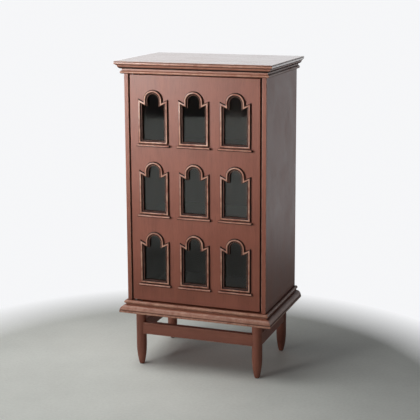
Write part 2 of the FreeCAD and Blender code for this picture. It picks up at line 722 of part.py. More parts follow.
def door():
    """Door panel with nine openings, three rebates, and its seats for the pivots."""
    body = new_body("door_blank")
    sketch = new_sketch(body, "outline", "XZ_Plane")
    rectangle(sketch, "-" + DOOR_HALF, DOOR_HALF, DOOR_LOW, DOOR_TOP)
    slab = pad(body, sketch, "door_thick", True)
    soften(body, slab, "door_arris", lambda edge: lies_at(edge, "Y", "0"))

    sketch = new_sketch(body, "opening", "XZ_Plane")
    across, up = window_place(1, ROWS)
    outline(sketch, shifted(opening_outline(), across, up))
    opening = pocket(body, sketch, "door_thick + cut_over")
    openings = body.newObject("PartDesign::LinearPattern", "door_openings")
    openings.Originals = [opening]
    openings.Direction = (axis_of(body, "X_Axis"), [""])
    openings.Direction2 = (axis_of(body, "Z_Axis"), [""])
    openings.setExpression("Length", sized("%d * %s" % (COLUMNS - 1, COLUMN_PITCH)))
    openings.setExpression("Length2", sized("%d * %s" % (ROWS - 1, ROW_PITCH)))
    openings.Occurrences = COLUMNS
    openings.Occurrences2 = ROWS
    body.Tip = openings

    sketch = new_sketch(body, "rebate", "XZ_Plane", "-door_thick")
    foot = WINDOW_LOW + " + " + REBATE_FOOT
    head = WINDOW_LOW + " + " + REBATE_HEAD
    rectangle(sketch, "-" + REBATE_HALF, REBATE_HALF, foot, head)
    rebate = pocket(body, sketch, "rebate_deep", True)
    rebates = body.newObject("PartDesign::LinearPattern", "door_rebates")
    rebates.Originals = [rebate]
    rebates.Direction = (axis_of(body, "Z_Axis"), [""])
    rebates.setExpression("Length", sized("%d * %s" % (ROWS - 1, ROW_PITCH)))
    rebates.Occurrences = ROWS
    body.Tip = rebates
    place(body, "0", FRONT, "0")

    cuts = []
    for end, seat, bore in (
        ("low", DOOR_LOW + " - cut_over", DOOR_LOW + " - cut_over"),
        ("top", DOOR_TOP + " - pivot_plate_thick", DOOR_TOP + " - pivot_in_door - pivot_gap"),
    ):
        cuts.append(pivot_plate_blank("door_seat_" + end, seat, "pivot_plate_thick + cut_over"))
        cuts.append(rod(
            "door_bore_" + end, "pivot_radius + run_fit", "pivot_in_door + pivot_gap + cut_over",
            (PIVOT_ACROSS, PIVOT_DEPTH, bore)))
    keep("door_panel", cut("door_panel_cut", body, cuts))


def axis_of(body, role):
    return [item for item in body.Origin.OriginFeatures if item.Role == role][0]


def windows():
    """Nine applied frames and nine sills."""
    for row in range(1, ROWS + 1):
        for column in range(1, COLUMNS + 1):
            across, up = window_place(column, row)
            tag = "_r%d_c%d" % (row, column)
            body = new_body("window_moulding" + tag)
            band = new_sketch(body, "band", "XZ_Plane")
            outline(band, outer_outline())
            outline(band, opening_outline())
            pad(body, band, "frame_band_out")
            bead = new_sketch(body, "bead", "XZ_Plane")
            outline(bead, outer_outline())
            outline(bead, bead_outline())
            raised = pad(body, bead, "frame_bead_out")
            soften(body, raised, "frame_bead_round", lambda edge: lies_at(edge, "Y", "-frame_bead_out"))
            place(body, across, FRONT, up)
            keep("window_moulding" + tag, body)

            body = new_body("window_sill" + tag)
            sketch = new_sketch(body, "outline", "XZ_Plane")
            reach = FRAME_WIDE + " / 2 + sill_over"
            rectangle(sketch, "-(%s)" % reach, reach, "-sill_drop - sill_high", "-sill_drop")
            strip = pad(body, sketch, "sill_out")
            soften(body, strip, "sill_round", lambda edge: lies_at(edge, "Y", "-sill_out"))
            place(body, across, FRONT, up)
            keep("window_sill" + tag, body)


def glazing():
    """One pane behind each row, held by four strips."""
    strips = []
    for row, name in enumerate(("top", "middle", "bottom"), start=1):
        foot = "%s + %s" % (window_place(1, row)[1], REBATE_FOOT)
        head = "%s + %s" % (window_place(1, row)[1], REBATE_HEAD)
        depth = FRONT + " + door_thick - rebate_deep"
        half = REBATE_HALF + " - glass_gap"
        keep("glass_" + name, board(
            "glass_" + name, "-(%s)" % half, half, depth, depth + " + glass_thick",
            foot + " + glass_gap", head + " - glass_gap"))
        depth = depth + " + glass_thick"
        inner = "(" + REBATE_HALF + " - rebate_margin)"
        outer = "(" + REBATE_HALF + " - tight_fit)"
        low = foot + " + tight_fit"
        high = head + " - tight_fit"
        back = FRONT + " + door_thick"
        strips.append(board("strip_low", "-" + outer, outer, depth, back, low, foot + " + rebate_margin"))
        strips.append(board("strip_high", "-" + outer, outer, depth, back, head + " - rebate_margin", high))
        for left, right in (("-" + outer, "-" + inner), (inner, outer)):
            strips.append(board(
                "strip_side", left, right, depth, back, foot + " + rebate_margin + tight_fit",
                head + " - rebate_margin - tight_fit"))
    keep("glass_beads", group("glass_beads", strips))


def pivot_plate_blank(label, low, thick):
    """Flat plate round the pivot axis; its short end points to the hinge side."""
    start = PIVOT_ACROSS + " - pivot_plate_end"
    corner = (start, PIVOT_DEPTH + " - pivot_plate_wide / 2", low)
    return box(label, corner, ("pivot_plate_long", "pivot_plate_wide", thick))


def pivots():
    """Concealed pivot hinges: a plate in each rail with a pin, and a plate in each door edge."""
    cabinet_plates = []
    for name, low in (("low", BASE_TOP + " - pivot_plate_thick"), ("top", CROWN_LOW)):
        blank = pivot_plate_blank("cabinet_plate_" + name, low, "pivot_plate_thick")
        hole = rod(
            "cabinet_plate_hole", "pivot_radius + tight_fit", "pivot_plate_thick + 2 * cut_over",
            (PIVOT_ACROSS, PIVOT_DEPTH, low + " - cut_over"))
        cabinet_plates.append(cut("cabinet_plate_%s_cut" % name, blank, [hole]))
    keep("cabinet_pivot_plates", group("cabinet_pivot_plates", cabinet_plates))

    door_plates = []
    for name, low in (("low", DOOR_LOW), ("top", DOOR_TOP + " - pivot_plate_thick")):
        blank = pivot_plate_blank("door_plate_" + name, low, "pivot_plate_thick")
        hole = rod(
            "door_plate_hole", "pivot_radius + run_fit", "pivot_plate_thick + 2 * cut_over",
            (PIVOT_ACROSS, PIVOT_DEPTH, low + " - cut_over"))
        door_plates.append(cut("door_plate_%s_cut" % name, blank, [hole]))
    keep("door_pivot_plates", group("door_pivot_plates", door_plates))

    pins = []
    for name, gap, up, turn in (
        ("low", "door_gap_low", BASE_TOP + " - pivot_root", "z"),
        ("top", "door_gap_top", CROWN_LOW + " + pivot_root", "down"),
    ):
        body = new_body("pivot_pin_" + name)
        sketch = new_sketch(body, "profile", "XZ_Plane")
        collar_top = "pivot_root + %s - pivot_gap" % gap
        outline(sketch, [
            ("0", "0"),
            ("pivot_radius", "0"),
            ("pivot_radius", "pivot_root"),
            ("collar_radius", "pivot_root"),
            ("collar_radius", collar_top),
            ("pivot_radius", collar_top),
            ("pivot_radius", "pivot_root + %s + pivot_in_door" % gap),
            ("0", "pivot_root + %s + pivot_in_door" % gap),
        ])
        revolve(body, sketch)
        body.Placement.Rotation = TURNS[turn]
        pins.append(place(body, PIVOT_ACROSS, PIVOT_DEPTH, up))
    keep("pivot_pins", group("pivot_pins", pins))


def catch():
    """Push-to-open catch under the top panel: body, sprung plunger and strike plate."""
    front = FRONT + " + door_thick + catch_set"
    blank = board(
        "catch_blank", CATCH_ACROSS + " - catch_wide / 2", CATCH_ACROSS + " + catch_wide / 2",
        front, front + " + catch_long", CATCH_HIGH + " - catch_tall / 2", CATCH_HIGH + " + catch_tall / 2")
    bore = rod(
        "catch_bore", "plunger_radius + plunger_fit", "catch_bore_long + cut_over",
        (CATCH_ACROSS, front + " - cut_over", CATCH_HIGH), "y")
    keep("catch_body", cut("catch_body_cut", blank, [bore]))

    strike_back = FRONT + " + door_thick + strike_thick"
    keep("strike_plate", board(
        "strike_plate", CATCH_ACROSS + " - strike_wide / 2", CATCH_ACROSS + " + strike_wide / 2",
        FRONT + " + door_thick", strike_back,
        CATCH_HIGH + " - strike_tall / 2", CATCH_HIGH + " + strike_tall / 2"))

    body = new_body("catch_plunger")
    sketch = new_sketch(body, "profile", "XZ_Plane")
    outline(sketch, [
        ("0", "0"),
        ("plunger_radius", "0"),
        ("plunger_radius", "plunger_long"),
        ("stem_radius", "plunger_long"),
        ("stem_radius", "plunger_long + stem_long"),
        ("0", "plunger_long + stem_long"),
    ])
    revolve(body, sketch)
    body.Placement.Rotation = TURNS["y"]
    place(body, CATCH_ACROSS, strike_back + " + plunger_fit", CATCH_HIGH)
    keep("catch_plunger", body)

    rest = "(strike_thick + plunger_fit + plunger_long)"
    long = "(catch_set + catch_bore_long - %s - press_stroke - plunger_fit)" % rest
    helix = doc.addObject("Part::Helix", "spring_line")
    helix.setExpression("Height", sized(long + " - 2 * spring_wire_radius"))
    helix.setExpression("Pitch", sized("(" + long + " - 2 * spring_wire_radius) / spring_turns"))
    helix.setExpression("Radius", sized("spring_radius"))
    wire = doc.addObject("Part::Circle", "spring_wire")
    wire.setExpression("Radius", sized("spring_wire_radius"))
    wire.Placement.Rotation = TURNS["y"]
    place(wire, "spring_radius", "0", "0")
    doc.recompute()
    coil = doc.addObject("Part::Sweep", "spring_coil")
    coil.Sections = [wire]
    coil.Spine = (helix, ["Edge1"])
    coil.Solid = True
    coil.Frenet = True
    coil.Placement.Rotation = TURNS["y"]
    place(coil, CATCH_ACROSS, front + " + catch_bore_long - %s + spring_wire_radius" % long, CATCH_HIGH)
    keep("catch_spring", coil)


def check_and_write():
    """Stops at a failed feature, then writes each sub-part to its own file."""
    doc.recompute()
    for thing in doc.Objects:
        if "Invalid" in thing.State or "Error" in thing.State:
            raise RuntimeError("%s failed: %s" % (thing.Label, thing.State))
        if thing.TypeId in ("PartDesign::Pocket", "PartDesign::LinearPattern"):
            before = thing.BaseFeature.Shape.Volume
            if not thing.Shape.Volume < before - CLOSE:
                raise RuntimeError("%s cuts nothing" % thing.Label)
    os.makedirs("parts", exist_ok=True)
    for thing in parts:
        if thing.Shape.isNull() or not thing.Shape.isValid():
            raise RuntimeError("%s has no valid shape" % thing.Label)
        thing.Shape.exportStep(os.path.join("parts", thing.Label + ".step"))
    print("wrote", len(parts), "sub-parts")


fill_sheet()
carcass()
crown_board()
mouldings("crown_moulding", CROWN_LIP_OUT, CROWN_LOW, False)
mouldings("base_moulding", PLINTH_OUT, "base_floor", True)
legs()
rails()
door()
windows()
glazing()
pivots()
catch()
check_and_write()
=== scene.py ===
"""Looks of a tall carved cabinet on turned legs, with nine arched windows in its door."""

import math

import bmesh
import bpy
from bpy.props import FloatProperty, FloatVectorProperty, IntProperty, PointerProperty
from mathutils import Matrix, Vector


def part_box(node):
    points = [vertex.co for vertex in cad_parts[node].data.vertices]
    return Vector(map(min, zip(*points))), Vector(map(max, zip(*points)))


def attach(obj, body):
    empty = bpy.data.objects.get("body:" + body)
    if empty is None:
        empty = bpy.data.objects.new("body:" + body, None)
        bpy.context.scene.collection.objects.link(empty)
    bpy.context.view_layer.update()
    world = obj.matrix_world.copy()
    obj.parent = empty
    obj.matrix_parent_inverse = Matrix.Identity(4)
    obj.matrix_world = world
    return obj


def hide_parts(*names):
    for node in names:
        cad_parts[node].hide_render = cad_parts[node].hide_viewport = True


bl_info = {
    "name": "Carved cabinet",
    "version": (1, 0, 0),
    "blender": (4, 5, 0),
    "location": "View3D > Sidebar > Cabinet",
    "description": "Builds the finished looks of a carved cabinet round its fixed frame",
    "category": "Object",
}

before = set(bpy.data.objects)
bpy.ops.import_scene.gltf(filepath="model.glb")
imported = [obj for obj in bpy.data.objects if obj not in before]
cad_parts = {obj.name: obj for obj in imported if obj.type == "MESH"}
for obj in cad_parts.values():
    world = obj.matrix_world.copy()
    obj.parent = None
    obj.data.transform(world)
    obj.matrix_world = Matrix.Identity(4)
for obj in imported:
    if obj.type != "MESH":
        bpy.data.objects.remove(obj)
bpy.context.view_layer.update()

MM = 0.001
WINDOW_ROWS = (1, 2, 3)
WINDOW_COLUMNS = (1, 2, 3)

# Points closer than WELD are joined, and only edges longer than LONG_EDGE are eased.
WELD = 0.01 * MM
LONG_EDGE = 50 * MM
EASE_SEGMENTS = 3
FLAT_ANGLE = math.radians(0.5)
HARD_ANGLE = math.radians(35)
SHARP_ANGLE = math.radians(38)

# Straight steps that make the round parts of a section, and a screw's head.
ROUND_STEPS = 12
BEAD_STEPS = 6
SILL_STEPS = 5
HEAD_STEPS = 20

# Part of a face's normal along an axis: over FACING the face looks that way, and under
# EDGE_ON it runs along the axis.
FACING = 0.4
EDGE_ON = 0.3

# Depth of the side panel's strip beside the door, whose inward faces get painted shade for the gap
# and bevel there.
SHADED_STRIP_DEPTH = 24 * MM

# Edges of the mouldings: the easing of the crown's lip and of the plinth, and the flat under
# the crown's quarter round. Rails are eased this many times as much as boards.
LIP_EASE = 0.6 * MM
PLINTH_EASE = 1.0 * MM
NECK_FLAT = 0.8 * MM
RAIL_EASE_SHARE = 1.6

# Edge of the crown board: inset, height, wear with painted highlight, dark wax with painted shade.
# The nosing starts at the board's underside, the groove's heights count from its deepest line, and
# the last from the top.
NOSING = (
    (3.2 * MM, 0.0, 0, 0.9), (1.5 * MM, 0.5 * MM, 0.8, 0), (0.4 * MM, 1.6 * MM, 0.8, 0),
    (0.0, 3.2 * MM, 0.8, 0))
GROOVE = (
    (0.0, -1.4 * MM, 0.9, 0), (0.4 * MM, -0.9 * MM, 0.3, 0.5), (1.4 * MM, 0.0, 0, 0.9),
    (0.5 * MM, 0.9 * MM, 0, 0.8), (0.2 * MM, 1.3 * MM, 0.5, 0.3))
TOP_EDGE = (
    (0.5 * MM, -1.0 * MM, 1, 0), (1.0 * MM, -0.4 * MM, 1, 0), (2.0 * MM, 0.0, 0.6, 0))
GROOVE_BELOW_TOP = 3.4 * MM

# The band of a window moulding, from its bead to the opening: shares of its width at the
# dip, after the dip and where the edge starts to round, and the depths of dip and edge.
DIP_SHARE, FLAT_SHARE, EDGE_SHARE = 0.12, 0.45, 0.78
DIP_DEPTH, EDGE_DEPTH = 0.5 * MM, 1.3 * MM
EDGE_ANGLES = (90, 67, 45, 22, 0)

# Shares of a bead's height: no dark wax and painted shade above the first, full this much lower.
# Wear and a painted highlight gather at its top by the power.
BARE_SHARE, FADE_SHARE = 0.99, 0.18
SCUFF_HIGHLIGHT_POWER = 6

# Ends of a sill that lose their rubbed edge and painted highlight to dark wax and painted shade.
SILL_SHADED_END = 1.5 * MM

# Screws of the back panel: rows, and the distance from its top and foot, doubled at its
# sides. A head's rings, from its foot, are shares of its radius and of its height.
SCREW_ROWS = 6
SCREW_INSET = 12 * MM
HEAD_RINGS = ((1.0, 0.0), (1.0, 0.3), (0.86, 0.62), (0.55, 0.84), (0.2, 0.92))
HEAD_HEIGHT_SHARE, SLOT_DEPTH_SHARE = 0.45, 0.35


def node_box(name):
    """Lowest and highest corner of a frame node, in metres."""
    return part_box(name)


SIDE_LOW, SIDE_HIGH = node_box("side_panel_right")
BOARD_LOW, BOARD_HIGH = node_box("crown_board")
BACK_LOW, BACK_HIGH = node_box("back_panel")
CARCASS_HALF = SIDE_HIGH.x
CARCASS_FRONT = SIDE_LOW.y
CARCASS_BACK = SIDE_HIGH.y
DOOR_FACE = node_box("door_panel")[0].y


# Settings


class CabinetFinish(bpy.types.PropertyGroup):
    """Colours of the stained wood, its wear with painted highlights and its dark wax with painted
    shade, the glass and the fittings.
    """

    door_colour: FloatVectorProperty(
        name="Door", description="Stain of the door panel", subtype="COLOR", size=3,
        min=0, max=1, default=(0.240, 0.067, 0.037))
    case_colour: FloatVectorProperty(
        name="Case", description="Stain of the side panels and the top", subtype="COLOR", size=3,
        min=0, max=1, default=(0.270, 0.082, 0.047))
    window_colour: FloatVectorProperty(
        name="Windows", description="Stain of the window mouldings and sills", subtype="COLOR",
        size=3, min=0, max=1, default=(0.270, 0.085, 0.050))
    moulding_colour: FloatVectorProperty(
        name="Mouldings", description="Stain of the crown and base mouldings", subtype="COLOR",
        size=3, min=0, max=1, default=(0.300, 0.104, 0.058))
    leg_colour: FloatVectorProperty(
        name="Legs", description="Stain of the legs and their rails", subtype="COLOR", size=3,
        min=0, max=1, default=(0.265, 0.084, 0.050))
    inner_colour: FloatVectorProperty(
        name="Inside", description="Stain of the shelves and the back", subtype="COLOR", size=3,
        min=0, max=1, default=(0.190, 0.098, 0.062))
    # Dark wax in the hollows, also used as painted shade in joints, gaps, reveals and undersides.
    glaze_and_shade_colour: FloatVectorProperty(
        name="Dark_glaze_and_shade", description="Dark wax left in the hollows", subtype="COLOR", size=3,
        min=0, max=1, default=(0.010, 0.002, 0.001))
    # Stain rubbed thin on edges, also used as a painted highlight on the upper faces of beads and
    # rounds.
    scuff_and_highlight_colour: FloatVectorProperty(
        name="Rubbed edges", description="Wood where the stain is rubbed thin", subtype="COLOR",
        size=3, min=0, max=1, default=(0.540, 0.300, 0.210))
    glass_colour: FloatVectorProperty(
        name="Glass", description="Tint of the panes", subtype="COLOR", size=3,
        min=0, max=1, default=(0.55, 0.57, 0.56))
    steel_colour: FloatVectorProperty(
        name="Steel", description="Zinc plated fittings", subtype="COLOR", size=3,
        min=0, max=1, default=(0.52, 0.52, 0.53))
    plastic_colour: FloatVectorProperty(
        name="Plastic", description="Brown moulded plastic", subtype="COLOR", size=3,
        min=0, max=1, default=(0.055, 0.030, 0.020))


class CabinetShape(bpy.types.PropertyGroup):
    """Sizes of the profiles and the small fittings."""

    edge_ease: FloatProperty(
        name="Eased edges", description="Rounding of the long edges of boards", unit="LENGTH",
        min=0, default=1.2 * MM)
    frame_side: FloatProperty(
        name="Frame width", description="Width of a window moulding at its sides", unit="LENGTH",
        default=15 * MM)
    frame_foot: FloatProperty(
        name="Frame foot", description="Width of a window moulding at its foot", unit="LENGTH",
        default=13 * MM)
    bead_width: FloatProperty(
        name="Bead width", description="Raised bead of a window moulding", unit="LENGTH",
        default=10.5 * MM)
    bead_height: FloatProperty(
        name="Bead height", description="Raised bead above the door's face", unit="LENGTH",
        default=8 * MM)
    bead_round: FloatProperty(
        name="Bead rounding", description="Radius of the raised bead's edges", unit="LENGTH",
        default=5.1 * MM)
    sill_round: FloatProperty(
        name="Sill rounding", description="Rounding of a sill's front", unit="LENGTH",
        default=3.8 * MM)
    # The faces round this gap get dark wax with painted shade.
    sill_gap: FloatProperty(
        name="Gap over the sill", description="Waxed gap between a moulding and its sill",
        unit="LENGTH", default=2.4 * MM)
    # A line of dark wax with painted shade where a moulding meets the door.
    shade_line: FloatProperty(
        name="Wax line", description="Dark wax left in the corner round a moulding",
        unit="LENGTH", default=0.4 * MM)
    band_height: FloatProperty(
        name="Band height", description="Flat band above the door's face", unit="LENGTH",
        default=3 * MM)
    ear_width: FloatProperty(
        name="Ear width", description="From the arch to the side of the frame", unit="LENGTH",
        default=22 * MM)
    ear_tip: FloatProperty(
        name="Ear tip", description="Tip of an ear above the arch's centre", unit="LENGTH",
        default=3 * MM)
    ear_root: FloatProperty(
        name="Ear root", description="Where an ear meets the arch, below its centre",
        unit="LENGTH", default=7.5 * MM)
    ear_under: FloatProperty(
        name="Under the ear", description="Opening at the jamb, below the arch's centre",
        unit="LENGTH", default=15.5 * MM)
    cusp: FloatProperty(
        name="Cusp", description="Opening's cusp below the arch's centre", unit="LENGTH",
        default=25 * MM)
    arch_steps: IntProperty(
        name="Arch steps", description="Straight steps that make an arch", min=12, default=40)
    crown_bead: FloatProperty(
        name="Moulding bead", description="Radius of the crown and base beads", unit="LENGTH",
        default=6 * MM)
    crown_round: FloatProperty(
        name="Crown round", description="Quarter round of the crown moulding", unit="LENGTH",
        default=14 * MM)
    base_round: FloatProperty(
        name="Base round", description="Quarter round of the base moulding", unit="LENGTH",
        default=20 * MM)
    neck_out: FloatProperty(
        name="Neck", description="Neck of both mouldings past the case", unit="LENGTH",
        default=6 * MM)
    crown_out: FloatProperty(
        name="Crown lip", description="Top lip of the crown moulding past the case",
        unit="LENGTH", default=24 * MM)
    crown_lip: FloatProperty(
        name="Crown lip height", description="Top lip of the crown moulding", unit="LENGTH",
        default=3 * MM)
    base_out: FloatProperty(
        name="Plinth", description="Plinth edge past the case", unit="LENGTH", default=27 * MM)
    plinth_high: FloatProperty(
        name="Plinth height", description="Plinth edge of the base moulding", unit="LENGTH",
        default=8 * MM)
    screw_radius: FloatProperty(
        name="Screw heads", description="Radius of the heads in the back panel", unit="LENGTH",
        default=3.6 * MM)


class CabinetStage(bpy.types.PropertyGroup):
    """Floor, lights and camera."""

    floor_colour: FloatVectorProperty(
        name="Floor", description="Pale floor", subtype="COLOR", size=3, min=0, max=1,
        default=(0.79, 0.82, 0.78))
    sky_colour: FloatVectorProperty(
        name="Background", description="Seen behind the cabinet and in its gloss",
        subtype="COLOR", size=3, min=0, max=1, default=(0.92, 0.925, 0.94))
    room_colour: FloatVectorProperty(
        name="Room", description="Dim room before the cabinet, seen only in its gloss",
        subtype="COLOR", size=3, min=0, max=1, default=(0.07, 0.07, 0.07))
    fill_light: FloatProperty(
        name="Fill", description="Light that comes from all round", min=0, default=0.15)
    key_power: FloatProperty(
        name="Main lamp", description="Large lamp above the front", unit="POWER", min=0,
        default=0.6)
    window_power: FloatProperty(
        name="Window lamp", description="Low lamp to the front and left", unit="POWER", min=0,
        default=6.3)
    floor_power: FloatProperty(
        name="Floor lamp", description="Lamp that looks down on the floor before the cabinet",
        unit="POWER", min=0, default=10.2)
    lens: FloatProperty(
        name="Lens", description="Focal length of the camera", unit="CAMERA", default=94.32)
    azimuth: FloatProperty(
        name="Azimuth", description="Turn of the camera about the upright", unit="ROTATION",
        default=math.radians(20.192))
    elevation: FloatProperty(
        name="Elevation", description="Camera's slope above the level", unit="ROTATION",
        default=math.radians(10.583))
    roll: FloatProperty(
        name="Roll", description="Camera's turn about its own axis", unit="ROTATION",
        default=math.radians(-0.282))
    standpoint: FloatVectorProperty(
        name="Standpoint", description="Place of the camera", subtype="TRANSLATION", size=3,
        default=(1.4507, -3.9601, 1.5616))
    rise: FloatProperty(name="Shift", description="Upward shift of the lens", default=-0.1)


# Shader helpers


class Nodes:
    """Adds nodes to a tree and joins them."""

    def __init__(self, tree):
        self.tree = tree

    def add(self, kind, values=None, **settings):
        """A node with its settings, and its inputs filled by name or by number."""
        node = self.tree.nodes.new(kind)
        for key, setting in settings.items():
            setattr(node, key, setting)
        for socket, given in (values or {}).items():
            self.put(node.inputs[socket], given)
        return node

    def put(self, socket, given):
        """Fills an input with a link or a value."""
        if isinstance(given, bpy.types.NodeSocket):
            self.tree.links.new(given, socket)
        else:
            socket.default_value = given

    def math(self, operation, first, second=0.5, third=0.5, clamp=False):
        values = {0: first, 1: second, 2: third}
        return self.add(
            "ShaderNodeMath", values, operation=operation, use_clamp=clamp).outputs[0]

    def ramp(self, given, low, high, start=0.0, end=1.0):
        """Maps low..high onto start..end, held at both ends."""
        values = {0: given, 1: low, 2: high, 3: start, 4: end}
        return self.add("ShaderNodeMapRange", values, clamp=True).outputs[0]

    def mix(self, share, first, second, blend="MIX"):
        """Mixes two colours; they are the node's inputs 6 and 7, and its output 2."""
        values = {0: share, 6: first, 7: second}
        return self.add(
            "ShaderNodeMix", values, data_type="RGBA", blend_type=blend).outputs[2]

    def blend(self, share, first, second):
        """Mixes two shaders."""
        return self.add("ShaderNodeMixShader", {0: share, 1: first, 2: second}).outputs[0]

    def noise(self, vector, detail, scale=1.0, roughness=0.5, distortion=0.0):
        return self.add("ShaderNodeTexNoise", {
            "Vector": vector, "Scale": scale, "Detail": detail, "Roughness": roughness,
            "Distortion": distortion}).outputs[0]

    def stretched(self, vector, scale):
        return self.add("ShaderNodeMapping", {"Vector": vector, "Scale": scale}).outputs[0]

    def bump(self, shader, height, strength, distance):
        """Gives a shader's surface a relief."""
        relief = self.add("ShaderNodeBump", {
            "Strength": strength, "Distance": distance, "Height": height})
        self.put(shader.inputs["Normal"], relief.outputs[0])


def new_group(name, inputs, outputs):
    """An empty shader group with named sockets, and its node maker."""
    group = bpy.data.node_groups.new(name, "ShaderNodeTree")
    for label, kind, given in inputs:
        socket = group.interface.new_socket(label, in_out="INPUT", socket_type=kind)
        if given is not None:
            socket.default_value = given
    for label, kind in outputs:
        group.interface.new_socket(label, in_out="OUTPUT", socket_type=kind)
    make = Nodes(group)
    return group, make, make.add("NodeGroupInput").outputs, make.add("NodeGroupOutput").inputs


FLOAT = "NodeSocketFloat"
COLOUR = "NodeSocketColor"
VECTOR = "NodeSocketVector"


# Scale of each layer of the wood's grain, per metre, and its share in the tone. Scratches on
# metal and smears on glass have a scale too.
CLOUD_SCALE, CLOUD_SHARE = (11, 11, 7), 0.46
BAND_SCALE, BAND_SHARE = (60, 60, 1.4), 0.30
STREAK_SCALE, STREAK_SHARE = (320, 320, 6), 0.24
PORE_SCALE = (950, 950, 28)
SCRATCH_SCALE = (900, 900, 60)
SMEAR_SCALE = (14, 14, 5)

# What the stain's colour is multiplied by in dark grain, light grain and filled pores.
DARK_GRAIN = (0.58, 0.50, 0.46, 1)
LIGHT_GRAIN = (1.30, 1.38, 1.40, 1)
FILLED_PORE = (0.35, 0.28, 0.25, 1)


def stained_grain_group():
    """Stained wood whose grain runs along Z: its colour, roughness and height."""
    group, make, given, out = new_group(
        "stained_grain",
        [("Vector", VECTOR, None), ("Stain", COLOUR, (0.2, 0.09, 0.06, 1)),
         ("Contrast", FLOAT, 0.5), ("Pores", FLOAT, 0.5), ("Gloss", FLOAT, 0.42)],
        [("Colour", COLOUR), ("Roughness", FLOAT), ("Height", FLOAT)])
    place = given["Vector"]
    clouds = make.noise(
        make.stretched(place, CLOUD_SCALE), detail=3, roughness=0.55, distortion=0.6)
    bands = make.noise(
        make.stretched(place, BAND_SCALE), detail=4, roughness=0.6, distortion=0.5)
    streaks = make.noise(
        make.stretched(place, STREAK_SCALE), detail=3, roughness=0.6, distortion=0.2)
    pores = make.noise(make.stretched(place, PORE_SCALE), detail=1)
    pore_mask = make.ramp(pores, 0.60, 0.72)
    level = make.math("MULTIPLY", make.ramp(clouds, 0.34, 0.66), CLOUD_SHARE)
    level = make.math("MULTIPLY_ADD", make.ramp(bands, 0.3, 0.7), BAND_SHARE, level)
    level = make.math("MULTIPLY_ADD", make.ramp(streaks, 0.3, 0.7), STREAK_SHARE, level)
    dark = make.mix(1.0, given["Stain"], DARK_GRAIN, "MULTIPLY")
    light = make.mix(1.0, given["Stain"], LIGHT_GRAIN, "MULTIPLY")
    tone = make.mix(level, dark, light)
    tone = make.mix(given["Contrast"], given["Stain"], tone)
    filled = make.math("MULTIPLY", pore_mask, given["Pores"])
    tone = make.mix(filled, tone, make.mix(1.0, tone, FILLED_PORE, "MULTIPLY"))
    make.put(out["Colour"], tone)
    gloss = make.math("MULTIPLY_ADD", make.ramp(clouds, 0.3, 0.7), 0.08, given["Gloss"])
    make.put(out["Roughness"], make.math("MULTIPLY_ADD", filled, 0.15, gloss))
    height = make.math("MULTIPLY_ADD", streaks, 0.25, make.math("MULTIPLY", bands, 0.3))
    make.put(out["Height"], make.math("MULTIPLY_ADD", filled, -0.5, height))
    return group


def scuffs_glaze_light_and_shade_group():
    """Rubs edges light and paints highlights, and leaves dark wax and painted shade in hollows,
    where the mesh marks them.
    """
    group, make, given, out = new_group(
        "scuffs_glaze_light_and_shade",
        [("Vector", VECTOR, None), ("Colour", COLOUR, (0.2, 0.1, 0.1, 1)),
         ("Pale_scuffs_and_highlight", COLOUR, (0.4, 0.2, 0.15, 1)), ("Dark_glaze_and_shade", COLOUR, (0.02, 0.01, 0.01, 1)),
         ("Scuff_and_highlight_amount", FLOAT, 0.6), ("Shade_and_dark_glaze_amount", FLOAT, 0.8), ("Roughness", FLOAT, 0.4)],
        [("Colour", COLOUR), ("Roughness", FLOAT), ("Coat", FLOAT)])
    # Pale wear marks that also paint highlights, and dark wax marks that also paint shade.
    edge = make.add("ShaderNodeAttribute", attribute_name="scuffs_and_highlight").outputs["Fac"]
    glaze_and_shade = make.add("ShaderNodeAttribute", attribute_name="glaze_and_shade").outputs["Fac"]
    patches = make.noise(given["Vector"], detail=4, scale=38.0, roughness=0.65)
    patches = make.ramp(patches, 0.34, 0.62)
    edge = make.math("MULTIPLY", make.math("MULTIPLY", edge, patches), given["Scuff_and_highlight_amount"])
    glaze_and_shade = make.math("MULTIPLY", glaze_and_shade, given["Shade_and_dark_glaze_amount"])
    # The painted highlight and the painted shade go into the colour here.
    tone = make.mix(edge, given["Colour"], given["Pale_scuffs_and_highlight"])
    make.put(out["Colour"], make.mix(glaze_and_shade, tone, given["Dark_glaze_and_shade"]))
    rough = make.math("MULTIPLY_ADD", glaze_and_shade, 0.6, given["Roughness"], clamp=True)
    make.put(out["Roughness"], rough)
    make.put(out["Coat"], make.math("SUBTRACT", 1.0, glaze_and_shade, clamp=True))
    return group


def fine_scratches_group():
    """Fine scratches for metal and a slight texture for plastic."""
    group, make, given, out = new_group(
        "fine_scratches",
        [("Vector", VECTOR, None), ("Roughness", FLOAT, 0.35), ("Spread", FLOAT, 0.15)],
        [("Roughness", FLOAT), ("Height", FLOAT)])
    lines = make.noise(
        make.stretched(given["Vector"], SCRATCH_SCALE), detail=2, roughness=0.6)
    rough = make.math("MULTIPLY_ADD", lines, given["Spread"], given["Roughness"])
    make.put(out["Roughness"], rough)
    make.put(out["Height"], lines)
    return group


# Turn that brings the grain, made along Z, along each axis.
QUARTER_TURN = math.radians(90)
GRAIN_TURN = {
    "x": (0.0, QUARTER_TURN, 0.0), "y": (QUARTER_TURN, 0.0, 0.0), "z": (0.0, 0.0, 0.0)}

LACQUER_IOR = 1.5
GLASS_IOR = 1.5


def blank_material(name):
    """A material without nodes, and its node maker."""
    material = bpy.data.materials.new(name)
    material.use_nodes = True
    material.node_tree.nodes.clear()
    return material, Nodes(material.node_tree)


